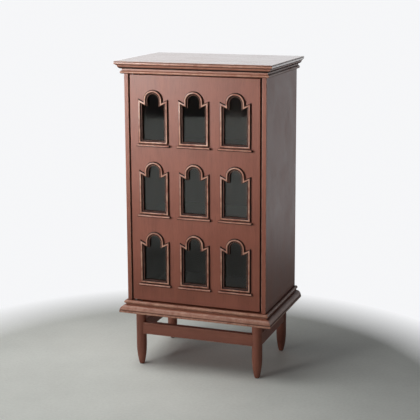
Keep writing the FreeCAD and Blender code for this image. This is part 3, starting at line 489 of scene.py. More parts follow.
class Finishes:
    """Builds each material once and hands it out by name."""

    def __init__(self):
        self.made = {}
        self.groups = {}

    @property
    def chosen(self):
        """Colours that the user has chosen."""
        return bpy.context.scene.cabinet_finish

    def group(self, builder):
        """Builds each node group once."""
        if builder not in self.groups:
            self.groups[builder] = builder()
        return self.groups[builder]

    def start(self, name):
        """A new material with a plain shader, and the place that its textures use."""
        material, make = blank_material(name)
        shader = make.add("ShaderNodeBsdfPrincipled")
        make.add("ShaderNodeOutputMaterial", {"Surface": shader.outputs[0]})
        place = make.add("ShaderNodeTexCoord").outputs["Object"]
        self.made[name] = material
        return material, make, shader, place

    def wood(self, kind, colour, grain, contrast=0.5, pores=0.5, gloss=0.36, wax=0.85,
             scuff_highlight_share=0.55, coated=False):
        """Stained wood with its grain along an axis, rubbed edges with painted highlights, and
        waxed hollows with painted shade.
        """
        name = "%s_wood_%s" % (kind, grain)
        if name in self.made:
            return self.made[name]
        material, make, shader, place = self.start(name)
        turned = make.add("ShaderNodeMapping", {"Vector": place, "Rotation": GRAIN_TURN[grain]})
        values = {
            "Vector": turned.outputs[0], "Stain": (*colour, 1), "Contrast": contrast,
            "Pores": pores, "Gloss": gloss}
        grained = make.add(
            "ShaderNodeGroup", values, node_tree=self.group(stained_grain_group))
        values = {
            "Vector": place, "Colour": grained.outputs["Colour"],
            "Pale_scuffs_and_highlight": (*self.chosen.scuff_and_highlight_colour, 1), "Dark_glaze_and_shade": (*self.chosen.glaze_and_shade_colour, 1),
            "Scuff_and_highlight_amount": scuff_highlight_share, "Shade_and_dark_glaze_amount": wax, "Roughness": grained.outputs["Roughness"]}
        marked = make.add(
            "ShaderNodeGroup", values, node_tree=self.group(scuffs_glaze_light_and_shade_group))
        make.put(shader.inputs["Base Color"], marked.outputs["Colour"])
        make.put(shader.inputs["Roughness"], marked.outputs["Roughness"])
        make.bump(shader, grained.outputs["Height"], strength=0.25, distance=0.6 * MM)
        shader.inputs["IOR"].default_value = LACQUER_IOR
        if coated:
            make.put(shader.inputs["Coat Weight"], marked.outputs["Coat"])
            shader.inputs["Coat Roughness"].default_value = gloss
        return material

    def case(self, grain):
        return self.wood("case", self.chosen.case_colour, grain)

    def crown(self, grain):
        return self.wood(
            "crown", self.chosen.moulding_colour, grain, pores=0.3, gloss=0.2, wax=0.9,
            coated=True)

    def door(self, grain):
        return self.wood("door", self.chosen.door_colour, grain, contrast=0.45, pores=0.4)

    def window(self, grain):
        return self.wood(
            "window", self.chosen.window_colour, grain, contrast=0.4, pores=0.3, gloss=0.26,
            wax=1.0, scuff_highlight_share=0.95)

    def moulding(self, grain):
        return self.wood(
            "moulding", self.chosen.moulding_colour, grain, contrast=0.55, pores=0.4, wax=0.95,
            scuff_highlight_share=0.8)

    def leg(self, grain):
        return self.wood("leg", self.chosen.leg_colour, grain, contrast=0.6, gloss=0.5)

    def inner(self, grain):
        return self.wood("inner", self.chosen.inner_colour, grain, pores=0.4, gloss=0.5)

    def scratched(self, make, shader, place, roughness):
        """Fine scratches in a shader's roughness, and their height."""
        lines = make.add(
            "ShaderNodeGroup", {"Vector": place, "Roughness": roughness},
            node_tree=self.group(fine_scratches_group))
        make.put(shader.inputs["Roughness"], lines.outputs["Roughness"])
        return lines.outputs["Height"]

    def metal(self, name="zinc_steel", rough=0.32):
        """Steel with fine scratches and dull spots."""
        if name in self.made:
            return self.made[name]
        material, make, shader, place = self.start(name)
        height = self.scratched(make, shader, place, rough)
        spots = make.noise(place, detail=3, scale=120.0, roughness=0.6)
        spots = make.ramp(spots, 0.35, 0.7)
        bright = self.chosen.steel_colour
        dull = (0.72 * part for part in bright)
        make.put(shader.inputs["Base Color"], make.mix(spots, (*bright, 1), (*dull, 1)))
        shader.inputs["Metallic"].default_value = 1.0
        make.bump(shader, height, strength=0.15, distance=0.2 * MM)
        return material

    def plastic(self):
        """Brown plastic with a slight texture."""
        name = "brown_plastic"
        if name in self.made:
            return self.made[name]
        material, make, shader, place = self.start(name)
        self.scratched(make, shader, place, 0.45)
        spots = make.noise(place, detail=2, scale=260.0)
        brown = self.chosen.plastic_colour
        pale = (1.25 * part for part in brown)
        make.put(shader.inputs["Base Color"], make.mix(spots, (*brown, 1), (*pale, 1)))
        make.bump(shader, spots, strength=0.2, distance=0.3 * MM)
        return material

    def glass(self):
        """Clear glass with faint smears and waves."""
        name = "window_glass"
        if name in self.made:
            return self.made[name]
        material, make, shader, place = self.start(name)
        smears = make.noise(make.stretched(place, SMEAR_SCALE), detail=4, roughness=0.6)
        smears = make.ramp(smears, 0.35, 0.75)
        make.put(shader.inputs["Roughness"], make.math("MULTIPLY_ADD", smears, 0.05, 0.015))
        waves = make.noise(place, detail=1, scale=9.0)
        make.bump(shader, waves, strength=0.1, distance=0.4 * MM)
        shader.inputs["Base Color"].default_value = (*self.chosen.glass_colour, 1)
        shader.inputs["Transmission Weight"].default_value = 1.0
        shader.inputs["IOR"].default_value = GLASS_IOR
        return material


finishes = Finishes()


# Mesh helpers


def dress(names, material):
    """Gives frame nodes their finish."""
    for name in names:
        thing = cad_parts[name]
        if not thing.material_slots:
            thing.data.materials.append(material)
        for slot in thing.material_slots:
            slot.material = material


def settle(thing, material, body, nodes=()):
    """Puts a new piece in the scene, on its body and with its finish."""
    thing.data.materials.clear()
    thing.data.materials.append(material)
    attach(thing, body)
    if nodes:
        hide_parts(*nodes)


def placed(name, data):
    """A new object in the scene."""
    thing = bpy.data.objects.new(name, data)
    bpy.context.scene.collection.objects.link(thing)
    return thing


def mesh_object(name, work):
    """A smooth-shaded object from a bmesh, with its hard corners kept."""
    bmesh.ops.recalc_face_normals(work, faces=work.faces)
    mesh = bpy.data.meshes.new(name)
    work.to_mesh(mesh)
    work.free()
    mesh.shade_smooth()
    mesh.set_sharp_from_angle(angle=SHARP_ANGLE)
    return placed(name, mesh)


def eased(node, width, waxed=None, parting=None):
    """A copy of a frame node's mesh, cleaned up and with its long edges eased. The shade test
    gives a face its share of dark wax and painted shade, and the parting splits the faces at a
    depth."""
    work = bmesh.new()
    work.from_mesh(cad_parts[node].data)
    bmesh.ops.remove_doubles(work, verts=work.verts, dist=WELD)
    bmesh.ops.dissolve_limit(work, angle_limit=FLAT_ANGLE, verts=work.verts, edges=work.edges)
    hard = [
        edge for edge in work.edges
        if len(edge.link_faces) == 2 and edge.calc_length() > LONG_EDGE
        and edge.calc_face_angle(0) > HARD_ANGLE]
    marked = set()
    if width:
        made = bmesh.ops.bevel(
            work, geom=hard, offset=width, segments=EASE_SEGMENTS, profile=0.5,
            affect="EDGES", clamp_overlap=True)
        marked = set(made["faces"])
    if parting is not None:
        everything = work.verts[:] + work.edges[:] + work.faces[:]
        bmesh.ops.bisect_plane(work, geom=everything, plane_co=(0, parting, 0), plane_no=(0, 1, 0))
    bmesh.ops.recalc_face_normals(work, faces=work.faces)
    scuffs_and_highlight = work.loops.layers.float.new("scuffs_and_highlight")
    glaze_and_shade = work.loops.layers.float.new("glaze_and_shade")
    # Eased edges get pale wear with a painted highlight; the test's faces get painted shade.
    for face in work.faces:
        for loop in face.loops:
            loop[scuffs_and_highlight] = 1.0 if face in marked else 0.0
            loop[glaze_and_shade] = waxed(face) if waxed else 0.0
    return work


def weighted(thing):
    """Keeps wide flat faces flat beside their eased edges."""
    change = thing.modifiers.new("flat_faces", "WEIGHTED_NORMAL")
    change.keep_sharp = True
    return thing


def eased_board(node, width, material, slot, **how):
    """Draws a board of the cabinet again with its long edges eased."""
    thing = mesh_object(node + "_eased", eased(node, width, **how))
    settle(weighted(thing), material, "cabinet", [node])


def join_rows(work, low, high, steps):
    """Faces between two rows of points."""
    for step in range(steps):
        after = (step + 1) % len(low)
        work.faces.new((low[step], low[after], high[after], high[step]))


def sweep(name, rings, closed_path, close_section=True):
    """A skin over rings of points; a ring is a list of (point, wear with painted highlight, dark
    wax with painted shade). The path runs along a ring and the section from ring to ring, and what
    isn't closed gets end faces."""
    work = bmesh.new()
    scuffs_and_highlight = work.verts.layers.float.new("scuffs_and_highlight")
    glaze_and_shade = work.verts.layers.float.new("glaze_and_shade")
    skin = []
    for ring in rings:
        row = []
        for point, scuff_highlight_share, wax in ring:
            vert = work.verts.new(point)
            vert[scuffs_and_highlight] = scuff_highlight_share
            vert[glaze_and_shade] = wax
            row.append(vert)
        skin.append(row)
    steps = len(skin[0]) if closed_path else len(skin[0]) - 1
    following = skin[1:] + skin[:1] if close_section else skin[1:]
    for low, high in zip(skin, following):
        join_rows(work, low, high, steps)
    if not closed_path:
        work.faces.new([row[0] for row in skin])
        work.faces.new([row[-1] for row in skin])
    elif not close_section:
        work.faces.new(skin[0])
        work.faces.new(skin[-1])
    return mesh_object(name, work)


def arc(centre, radius, first, last, steps):
    """Points along an arc, in degrees from the first angle to the last."""
    points = []
    for step in range(steps + 1):
        angle = math.radians(first + (last - first) * step / steps)
        points.append((
            centre[0] + radius * math.cos(angle), centre[1] + radius * math.sin(angle)))
    return points


def held(share):
    """A share held between none and all."""
    return min(1.0, max(0.0, share))


# Shapes of the pieces


def crown_profile(shape):
    """Section of the crown moulding: out, up, wear with painted highlight, dark wax with painted
    shade.
    Painted shade lies in its joints, under its bead and on the lower part of its round; a painted
    highlight on its bead and the upper part of its round.
    """
    top = BOARD_LOW.z - node_box("crown_moulding_front")[0].z
    neck, bead = shape.neck_out, shape.crown_bead
    lip = top - shape.crown_lip
    points = [(0.0, 0.0, 0, 0.9), (neck * 0.9, 0.0, 0, 0.6)]
    for out, up in arc((neck, bead), bead, -90, 90, ROUND_STEPS):
        tall = abs(up - bead) / bead
        points.append((out, up, 1 - tall, 0.8 * tall if up < 0.6 * bead else 0.0))
    start = lip - shape.crown_round
    points.append((neck, start - NECK_FLAT, 0.4, 0))
    for out, up in arc((neck, lip), shape.crown_round, -90, 0, ROUND_STEPS):
        share = (up - start) / shape.crown_round
        wax = held((0.66 - share) / 0.22)
        points.append((out, up, 0.3 if 0.6 < share < 0.95 else 0.0, wax))
    points += [
        (shape.crown_out - LIP_EASE, lip, 0, 0.9), (shape.crown_out, lip + LIP_EASE, 0, 0.9),
        (shape.crown_out, top - LIP_EASE, 0, 0.7), (shape.crown_out - LIP_EASE, top, 0, 1),
        (0.0, top, 0, 0)]
    return points


def base_profile(shape):
    """Section of the base moulding: out, up, wear with painted highlight, dark wax with painted
    shade.
    Painted shade lies in its joints and under its bead; a painted highlight on its plinth, round
    and bead.
    """
    low, high = node_box("base_moulding_front")
    top = high.z - low.z
    neck, bead, plinth = shape.neck_out, shape.crown_bead, shape.plinth_high
    points = [
        (0.0, 0.0, 0, 0), (shape.base_out - PLINTH_EASE, 0.0, 0.4, 0),
        (shape.base_out, PLINTH_EASE, 1, 0), (shape.base_out, plinth - PLINTH_EASE, 1, 0),
        (shape.base_out - PLINTH_EASE, plinth, 0, 1)]
    for out, up in arc((neck, plinth), shape.base_round, 0, 90, ROUND_STEPS):
        share = (up - plinth) / shape.base_round
        points.append((out, up, 0.6 if 0.2 < share < 0.9 else 0, held(1 - 5 * share)))
    for out, up in arc((neck, top - bead), bead, -90, 90, ROUND_STEPS):
        tall = abs(up - top + bead) / bead
        wax = 0.5 if up < top - 1.85 * bead else 0.0
        points.append((out, up, 1 - 0.5 * tall, wax))
    points.append((0.0, top, 0, 0.9))
    return points


def board_profile(tall):
    """Edge of the crown board, upwards: inset, up, wear with painted highlight, dark wax with
    painted shade. Painted shade lies under the nosing and in the groove; a painted highlight on
    the nosing and the top edge.
    """
    points = list(NOSING)
    for level, part in ((tall - GROOVE_BELOW_TOP, GROOVE), (tall, TOP_EDGE)):
        points += [(inset, level + up, scuff_highlight_share, wax) for inset, up, scuff_highlight_share, wax in part]
    return points


def moulding_pieces(label, profile):
    """The front and the two side pieces of a moulding, mitred at the front."""
    level = node_box(label + "_front")[0].z
    rings = {"front": [], "left": [], "right": []}
    for out, up, scuff_highlight_share, wax in profile:
        height = level + up
        across = CARCASS_HALF + out
        front = CARCASS_FRONT - out
        rings["front"].append([((side * across, front, height), scuff_highlight_share, wax) for side in (-1, 1)])
        for name, side in (("left", -1), ("right", 1)):
            rings[name].append([
                ((side * across, depth, height), scuff_highlight_share, wax) for depth in (front, CARCASS_BACK)])
    for name, ring in rings.items():
        node = "%s_%s" % (label, name)
        thing = sweep(node + "_shaped", ring, closed_path=False)
        grain = "x" if name == "front" else "y"
        settle(thing, finishes.moulding(grain), "cabinet", [node])


def frame_ring(shape, size, inset):
    """Outline of a window frame, moved in by a distance: a list of (across, up)."""
    wide, high = size
    half = wide / 2 - inset
    outer_arch = wide / 2 - shape.ear_width
    arch = outer_arch - inset
    centre = high - outer_arch
    slope = (shape.ear_tip + shape.ear_root) / shape.ear_width
    drop = inset * (slope + math.hypot(1.0, slope))
    ear = centre + shape.ear_tip - drop
    cusp = centre - shape.ear_root - drop
    return ring_points(inset, half, ear, arch, cusp, centre, shape.arch_steps)


def opening_ring(shape, size):
    """Outline of the opening in a window frame."""
    wide, high = size
    outer_arch = wide / 2 - shape.ear_width
    centre = high - outer_arch
    return ring_points(
        shape.frame_foot, wide / 2 - shape.frame_side, centre - shape.ear_under,
        outer_arch - shape.frame_side, centre - shape.cusp, centre, shape.arch_steps)


def ring_points(foot, half, ear, arch, cusp, centre, steps):
    """Outline with an arch over a rectangle, from its lower left corner round to the left ear."""
    points = [(-half, foot), (half, foot), (half, ear), (arch, cusp)]
    points += arc((0.0, centre), arch, 0, 180, steps)
    points += [(-arch, cusp), (-half, ear)]
    return points


def window_rings(shape, size):
    """Rings of a window moulding: outline, height above the door, wear with painted highlight and
    dark wax with painted shade. Painted shade lies round its foot, on its bead's lower flanks, on
    its band and in the opening; a painted highlight on its bead's top.
    """
    tall, radius = shape.bead_height, shape.bead_round
    line = frame_ring(shape, size, -shape.shade_line)
    line[0] = (line[0][0], -shape.sill_gap)
    line[1] = (line[1][0], -shape.sill_gap)
    rings = [(line, 0.0, 0, 0.6), (frame_ring(shape, size, 0.0), shape.shade_line, 0, 0.6)]
    bead = arc((radius, tall - radius), radius, 180, 90, BEAD_STEPS)
    bead += arc((shape.bead_width - radius, tall - radius), radius, 90, 0, BEAD_STEPS)
    for out, up in bead:
        wax = held((BARE_SHARE * tall - up) / (FADE_SHARE * tall))
        scuff_highlight_share = (up / tall) ** SCUFF_HIGHLIGHT_POWER
        rings.append((frame_ring(shape, size, out), up, scuff_highlight_share, wax))
    inner = frame_ring(shape, size, shape.bead_width)
    opening = opening_ring(shape, size)

    def between(share):
        return [
            (a[0] + (b[0] - a[0]) * share, a[1] + (b[1] - a[1]) * share)
            for a, b in zip(inner, opening)]

    band = shape.band_height
    rings += [
        (inner, band, 0, 1.0), (between(DIP_SHARE), band - DIP_DEPTH, 0, 1.0),
        (between(FLAT_SHARE), band, 0, 0.9)]
    for angle in EDGE_ANGLES:
        turn = math.radians(angle)
        share = EDGE_SHARE + (1 - EDGE_SHARE) * math.cos(turn)
        up = band - EDGE_DEPTH * (1 - math.sin(turn))
        rings.append((between(share), up, 0.5, 1.0 if angle < 30 else 0.45))
    rings.append((opening, 0.0, 0, 1.0))
    return rings


def sill_profile(shape, out, high):
    """Section of a window sill: out, up, wear with painted highlight, dark wax with painted shade.
    Painted shade lies on its underside and the back of its top; a painted highlight on its upper
    front round.
    """
    radius, line = shape.sill_round, shape.shade_line
    points = [(0.0, -2 * line, 0, 1), (line, 0.0, 0, 1), (out - radius, 0.0, 0, 1)]
    for across, up in arc((out - radius, radius), radius, -75, 0, SILL_STEPS):
        points.append((across, up, 0, held(2.6 * (1 - up / radius))))
    for across, up in arc((out - radius, high - radius), radius, 0, 90, BEAD_STEPS):
        points.append((across, up, 0.6, 0.0))
    points += [(out - 1.4 * radius, high, 0, 0.5), (0.4 * (out - radius), high, 0, 1)]
    points.append((0.0, high, 0, 1))
    return points


def window_moulding(shape, tag):
    """One arched moulding on the door's face."""
    node = "window_moulding_" + tag
    low, high = node_box(node)
    middle = (low.x + high.x) / 2
    rings = []
    for outline, tall, scuff_highlight_share, wax in window_rings(shape, (high.x - low.x, high.z - low.z)):
        rings.append([
            ((middle + across, DOOR_FACE - tall, low.z + up), scuff_highlight_share, wax)
            for across, up in outline])
    thing = sweep(node + "_shaped", rings, closed_path=True)
    settle(thing, finishes.window("z"), "door", [node])


def window_sill(shape, tag):
    """The sill below one window, with dark wax and painted shade at its ends."""
    node = "window_sill_" + tag
    low, high = node_box(node)
    path = (
        (low.x, 0, 1), (low.x + SILL_SHADED_END, 1, 0), (high.x - SILL_SHADED_END, 1, 0), (high.x, 0, 1))
    rings = []
    for out, up, scuff_highlight_share, wax in sill_profile(shape, high.y - low.y, high.z - low.z):
        rings.append([
            ((across, high.y - out, low.z + up), scuff_highlight_share * bare, max(wax, end))
            for across, bare, end in path])
    thing = sweep(node + "_shaped", rings, closed_path=False)
    settle(thing, finishes.window("x"), "door", [node])


def screw_head(work, centre, radius):
    """A low round head with a cross slot, facing the back."""
    tall = radius * HEAD_HEIGHT_SHARE
    rows = []
    for share, rise in HEAD_RINGS:
        row = []
        for step in range(HEAD_STEPS):
            angle = 2 * math.pi * step / HEAD_STEPS
            in_slot = share < 0.6 and step % (HEAD_STEPS // 4) == 0
            deep = SLOT_DEPTH_SHARE if in_slot else 0.0
            row.append(work.verts.new((
                centre.x + radius * share * math.cos(angle), centre.y + tall * (rise - deep),
                centre.z + radius * share * math.sin(angle))))
        rows.append(row)
    for low, high in zip(rows, rows[1:]):
        join_rows(work, low, high, HEAD_STEPS)
    work.faces.new(rows[-1])
    work.faces.new(list(reversed(rows[0])))


def back_screws(radius):
    """The screws round the back panel, as one piece."""
    work = bmesh.new()
    tall = BACK_HIGH.z - BACK_LOW.z - 2 * SCREW_INSET
    for row in range(SCREW_ROWS):
        height = BACK_LOW.z + SCREW_INSET + tall * row / (SCREW_ROWS - 1)
        for across in (BACK_LOW.x + 2 * SCREW_INSET, 0.0, BACK_HIGH.x - 2 * SCREW_INSET):
            if across == 0.0 and row not in (0, SCREW_ROWS - 1):
                continue
            screw_head(work, Vector((across, BACK_HIGH.y, height)), radius)
    return mesh_object("back_panel_screws", work)


# Operators


class CABINET_OT_case(bpy.types.Operator):
    """Side panels, boards and the head and toe rails"""

    bl_idname = "cabinet.case"
    bl_label = "Case"

    def execute(self, context):
        ease = context.scene.cabinet_shape.edge_ease
        parting = CARCASS_FRONT + SHADED_STRIP_DEPTH
        for side, inward in (("left", 1), ("right", -1)):

            # Painted shade on the side panel's inward faces beside the door.
            def shade_beside_door(face, inward=inward):
                near = face.calc_center_median().y < parting
                return 1.0 if near and inward * face.normal.x > FACING else 0.0

            eased_board(
                "side_panel_" + side, ease, finishes.case("z"), "case_wood",
                waxed=shade_beside_door, parting=parting)
        eased_board("base_board", ease, finishes.case("x"), "case_wood")
        dress(("head_rail", "toe_rail"), finishes.case("x"))
        return {"FINISHED"}


class CABINET_OT_crown(bpy.types.Operator):
    """Crown board with the crown moulding below it"""

    bl_idname = "cabinet.crown"
    bl_label = "Crown"

    def execute(self, context):
        shape = context.scene.cabinet_shape
        half, front = BOARD_HIGH.x, BOARD_LOW.y
        rings = []
        for inset, up, scuff_highlight_share, wax in board_profile(BOARD_HIGH.z - BOARD_LOW.z):
            across, depth, height = half - inset, front + inset, BOARD_LOW.z + up
            corners = (
                (-across, BOARD_HIGH.y), (-across, depth), (across, depth), (across, BOARD_HIGH.y))
            rings.append([((x, y, height), scuff_highlight_share, wax) for x, y in corners])
        thing = sweep("crown_board_shaped", rings, closed_path=True, close_section=False)
        settle(weighted(thing), finishes.crown("x"), "cabinet", ["crown_board"])
        moulding_pieces("crown_moulding", crown_profile(shape))
        return {"FINISHED"}


class CABINET_OT_base(bpy.types.Operator):
    """Base moulding round the foot of the case"""

    bl_idname = "cabinet.base"
    bl_label = "Base moulding"

    def execute(self, context):
        moulding_pieces("base_moulding", base_profile(context.scene.cabinet_shape))
        return {"FINISHED"}


class CABINET_OT_legs(bpy.types.Operator):
    """Turned legs, the rails between them and their fittings"""

    bl_idname = "cabinet.legs"
    bl_label = "Legs and rails"

    def execute(self, context):
        ease = RAIL_EASE_SHARE * context.scene.cabinet_shape.edge_ease
        ends = [end + "_" + side for end in ("front", "back") for side in ("left", "right")]
        dress(["leg_" + end for end in ends], finishes.leg("z"))
        for side, grain in (("front", "x"), ("back", "x"), ("left", "y"), ("right", "y")):
            eased_board("rail_" + side, ease, finishes.leg(grain), "leg_wood")
        dress(("rail_dowels",), finishes.inner("x"))
        dress(("leg_plates", "leg_bolts"), finishes.metal())
        dress(("foot_glides",), finishes.plastic())
        return {"FINISHED"}


class CABINET_OT_door(bpy.types.Operator):
    """Door panel with its nine openings"""

    bl_idname = "cabinet.door"
    bl_label = "Door"

    def execute(self, context):
        # Painted shade on the door's edge-on faces: the reveals of its openings and its outer
        # edges.
        def shade_on_edges(face):
            return 1.0 if abs(face.normal.y) < EDGE_ON else 0.0

        thing = mesh_object("door_panel_shaped", eased("door_panel", 0, waxed=shade_on_edges))
        settle(weighted(thing), finishes.door("z"), "door", ["door_panel"])
        return {"FINISHED"}


class CABINET_OT_windows(bpy.types.Operator):
    """Nine arched mouldings and their sills"""

    bl_idname = "cabinet.windows"
    bl_label = "Windows"

    def execute(self, context):
        shape = context.scene.cabinet_shape
        for row in WINDOW_ROWS:
            for column in WINDOW_COLUMNS:
                tag = "r%d_c%d" % (row, column)
                window_moulding(shape, tag)
                window_sill(shape, tag)
        return {"FINISHED"}


class CABINET_OT_glazing(bpy.types.Operator):
    """Three panes and the strips that hold them"""

    bl_idname = "cabinet.glazing"
    bl_label = "Glazing"

    def execute(self, context):
        dress(("glass_top", "glass_middle", "glass_bottom"), finishes.glass())
        dress(("glass_beads",), finishes.inner("x"))
        return {"FINISHED"}


class CABINET_OT_inside(bpy.types.Operator):
    """Shelves, back panel and the boards inside"""

    bl_idname = "cabinet.inside"
    bl_label = "Inside"

    def execute(self, context):
        ease = context.scene.cabinet_shape.edge_ease
        for node in ("shelf_upper", "shelf_lower", "bottom_board", "top_panel"):
            eased_board(node, ease, finishes.inner("x"), "inner_wood")
        dress(("back_panel",), finishes.inner("z"))
        return {"FINISHED"}


class CABINET_OT_fittings(bpy.types.Operator):
    """Hinge plates, pins, the push catch and the screws in the back"""

    bl_idname = "cabinet.fittings"
    bl_label = "Fittings"

    def execute(self, context):
        dress((
            "shelf_pins", "cabinet_pivot_plates", "door_pivot_plates", "pivot_pins",
            "strike_plate"), finishes.metal())
        dress(("catch_spring",), finishes.metal("spring_steel", 0.25))
        dress(("catch_body", "catch_plunger"), finishes.plastic())
        screws = back_screws(context.scene.cabinet_shape.screw_radius)
        settle(screws, finishes.metal(), "cabinet")
        return {"FINISHED"}


class CABINET_OT_stage(bpy.types.Operator):
    """Floor, background, lamps and camera"""

    bl_idname = "cabinet.stage"
    bl_label = "Stage"

    def execute(self, context):
        stage = context.scene.cabinet_stage
        make_floor(stage)
        make_world(stage)
        make_lamps(stage)
        make_camera(stage)
        context.scene.view_settings.view_transform = "Standard"
        return {"FINISHED"}


# Stage


# The floor: a disc about a point before the cabinet, which fades into the background between
# two distances from its middle. In gloss it reaches about twice as far: the distance's factor
# of 1 gets GLOSS_FACTOR added, and before the cabinet BEFORE_FACTOR too.
FLOOR_RADIUS, FLOOR_SEGMENTS = 7.0, 96
FLOOR_MIDDLE = -0.35
FADE_START, FADE_END = 0.95, 1.3
GLOSS_FACTOR, BEFORE_FACTOR = -0.5, 0.08

GRIT_COLOUR = (0.3, 0.3, 0.28, 1)

# What the gloss shows of the surroundings: pale toward the left and the back, by these parts
# of a direction, and only low down; dim elsewhere.
PALE_ACROSS, PALE_DEPTH = -0.45, 0.9
PALE_FROM, PALE_FULL = 0.05, 0.45
PALE_BELOW, DIM_ABOVE = 0.24, 0.45

# Light from all round: its colour, and how much of it comes from the left and the right.
FILL_COLOUR = (0.97, 0.98, 1.0, 1)
FILL_LEFT, FILL_RIGHT = 1.4, 0.35

LAMP_COLOUR = (1.0, 0.99, 0.97)
SENSOR_WIDTH = 36.0
CLIP_END = 50.0


def seen_directly(make):
    """Two masks: rays from the camera, gloss or glass, and rays from gloss alone."""
    path = make.add("ShaderNodeLightPath").outputs
    seen = make.math("MAXIMUM", path["Is Camera Ray"], path["Is Glossy Ray"])
    return make.math("MAXIMUM", seen, path["Is Transmission Ray"]), path["Is Glossy Ray"]


def floor_material(stage):
    """Pale floor near the cabinet, and the plain background further out."""
    material, make = blank_material("pale_floor")
    place = make.add("ShaderNodeTexCoord").outputs["Object"]
    clouds = make.noise(place, detail=4, scale=1.6, roughness=0.6)
    grit = make.noise(place, detail=3, scale=90.0, roughness=0.6)
    darker = (0.9 * part for part in stage.floor_colour)
    lighter = (1.08 * part for part in stage.floor_colour)
    tone = make.mix(make.ramp(clouds, 0.3, 0.7), (*darker, 1), (*lighter, 1))
    tone = make.mix(make.ramp(grit, 0.35, 0.75, 0.0, 0.12), tone, GRIT_COLOUR)
    near = make.add("ShaderNodeBsdfPrincipled", {"Base Color": tone, "Roughness": 0.62})
    seen, glossy = seen_directly(make)
    depth = make.add("ShaderNodeSeparateXYZ", {0: place}).outputs["Y"]
    before = make.math("MULTIPLY", make.ramp(depth, 0.6, 0.0), glossy)
    distant = make.mix(before, (*stage.sky_colour, 1), (*stage.floor_colour, 1))
    glow = make.add("ShaderNodeEmission", {"Color": distant, "Strength": 1.0})
    clear = make.add("ShaderNodeBsdfTransparent")
    far = make.blend(seen, clear.outputs[0], glow.outputs[0])
    distance = make.add("ShaderNodeVectorMath", {0: place}, operation="LENGTH").outputs["Value"]
    nearer = make.math("MULTIPLY_ADD", glossy, GLOSS_FACTOR, 1.0)
    nearer = make.math("MULTIPLY_ADD", before, BEFORE_FACTOR, nearer)
    faded = make.ramp(make.math("MULTIPLY", distance, nearer), FADE_START, FADE_END)
    surface = make.blend(faded, near.outputs[0], far)
    make.add("ShaderNodeOutputMaterial", {"Surface": surface})
    return material


def make_floor(stage):
    """The floor's disc."""
    work = bmesh.new()
    bmesh.ops.create_circle(work, cap_ends=True, radius=FLOOR_RADIUS, segments=FLOOR_SEGMENTS)
    mesh = bpy.data.meshes.new("floor")
    work.to_mesh(mesh)
    work.free()
    floor = placed("floor", mesh)
    floor.location.y = FLOOR_MIDDLE
    mesh.materials.append(floor_material(stage))


def make_world(stage):
    """The background, what the gloss shows of the surroundings, and the light from all round."""
    world = bpy.data.worlds.new("surroundings")
    world.use_nodes = True
    world.node_tree.nodes.clear()
    make = Nodes(world.node_tree)
    seen, glossy = seen_directly(make)
    toward = make.add("ShaderNodeTexCoord").outputs["Generated"]
    across, depth, height = make.add("ShaderNodeSeparateXYZ", {0: toward}).outputs
    side = make.math("MULTIPLY", depth, PALE_DEPTH)
    side = make.math("MULTIPLY_ADD", across, PALE_ACROSS, side)
    turned_away = make.ramp(side, PALE_FULL, PALE_FROM)
    high_up = make.ramp(height, PALE_BELOW, DIM_ABOVE)
    dim = make.math("MULTIPLY", make.math("MAXIMUM", turned_away, high_up), glossy)
    around = make.mix(dim, (*stage.sky_colour, 1), (*stage.room_colour, 1))
    shown = make.add("ShaderNodeBackground", {"Color": around, "Strength": 1.0})
    left, right = FILL_LEFT * stage.fill_light, FILL_RIGHT * stage.fill_light
    strength = make.ramp(across, -0.5, 0.5, left, right)
    fill = make.add("ShaderNodeBackground", {"Color": FILL_COLOUR, "Strength": strength})
    surface = make.blend(seen, fill.outputs[0], shown.outputs[0])
    make.add("ShaderNodeOutputWorld", {"Surface": surface})
    bpy.context.scene.world = world


def aim(thing, place, target):
    """Puts a lamp in its place, turned to its target."""
    thing.location = place
    thing.rotation_euler = (Vector(target) - Vector(place)).to_track_quat("-Z", "Y").to_euler()


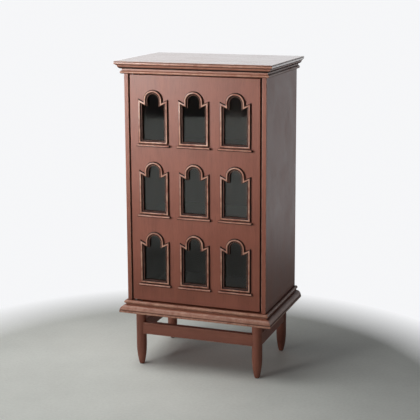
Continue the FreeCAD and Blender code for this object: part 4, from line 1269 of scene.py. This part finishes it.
def make_lamps(stage):
    """Square lamps: name, power, side, spread in degrees, place and target."""
    for name, power, side, spread, place, target in (
        ("main_lamp", stage.key_power, 1.5, 36, (-0.6, -1.25, 2.9), (0.0, -0.25, 1.08)),
        ("window_lamp", stage.window_power, 0.9, 39, (-1.9, -2.9, 1.3), (-0.15, -0.2, 1.12)),
        ("floor_lamp", stage.floor_power, 1.6, 80, (-1.3, -0.6, 2.7), (-0.5, -0.6, 0.0)),
    ):
        lamp = bpy.data.lights.new(name, "AREA")
        lamp.shape = "RECTANGLE"
        lamp.size = side
        lamp.size_y = side
        lamp.spread = math.radians(spread)
        lamp.energy = power
        lamp.color = LAMP_COLOUR
        aim(placed(name, lamp), place, target)


def make_camera(stage):
    """The camera, where the photo was taken from."""
    data = bpy.data.cameras.new("camera")
    data.sensor_width = SENSOR_WIDTH
    data.lens = stage.lens
    data.shift_y = stage.rise
    data.clip_end = CLIP_END
    thing = placed("camera", data)
    turn = (
        Matrix.Rotation(stage.azimuth, 4, "Z")
        @ Matrix.Rotation(QUARTER_TURN - stage.elevation, 4, "X")
        @ Matrix.Rotation(stage.roll, 4, "Z"))
    thing.matrix_world = Matrix.Translation(stage.standpoint) @ turn
    bpy.context.scene.camera = thing


# Add-on


class VIEW3D_PT_cabinet(bpy.types.Panel):
    """Lists the pieces of the cabinet and their settings"""

    bl_idname = "VIEW3D_PT_cabinet"
    bl_label = "Carved cabinet"
    bl_space_type = "VIEW_3D"
    bl_region_type = "UI"
    bl_category = "Cabinet"

    def draw(self, context):
        layout = self.layout
        for operator in PIECES:
            layout.operator(operator.bl_idname)
        for settings, _ in SETTINGS:
            values = getattr(context.scene, settings)
            box = layout.box()
            for name in values.__annotations__:
                box.prop(values, name)


PIECES = (
    CABINET_OT_case, CABINET_OT_crown, CABINET_OT_base, CABINET_OT_legs, CABINET_OT_door,
    CABINET_OT_windows, CABINET_OT_glazing, CABINET_OT_inside, CABINET_OT_fittings,
    CABINET_OT_stage)
SETTINGS = (
    ("cabinet_finish", CabinetFinish), ("cabinet_shape", CabinetShape),
    ("cabinet_stage", CabinetStage))
CLASSES = tuple(group for _, group in SETTINGS) + PIECES + (VIEW3D_PT_cabinet,)


def register():
    for item in CLASSES:
        bpy.utils.register_class(item)
    for name, group in SETTINGS:
        setattr(bpy.types.Scene, name, PointerProperty(type=group))


def unregister():
    for name, _ in SETTINGS:
        delattr(bpy.types.Scene, name)
    for item in reversed(CLASSES):
        bpy.utils.unregister_class(item)


def main():
    register()
    for operator in PIECES:
        group, name = operator.bl_idname.split(".")
        getattr(getattr(bpy.ops, group), name)()


if __name__ == "__main__":
    main()
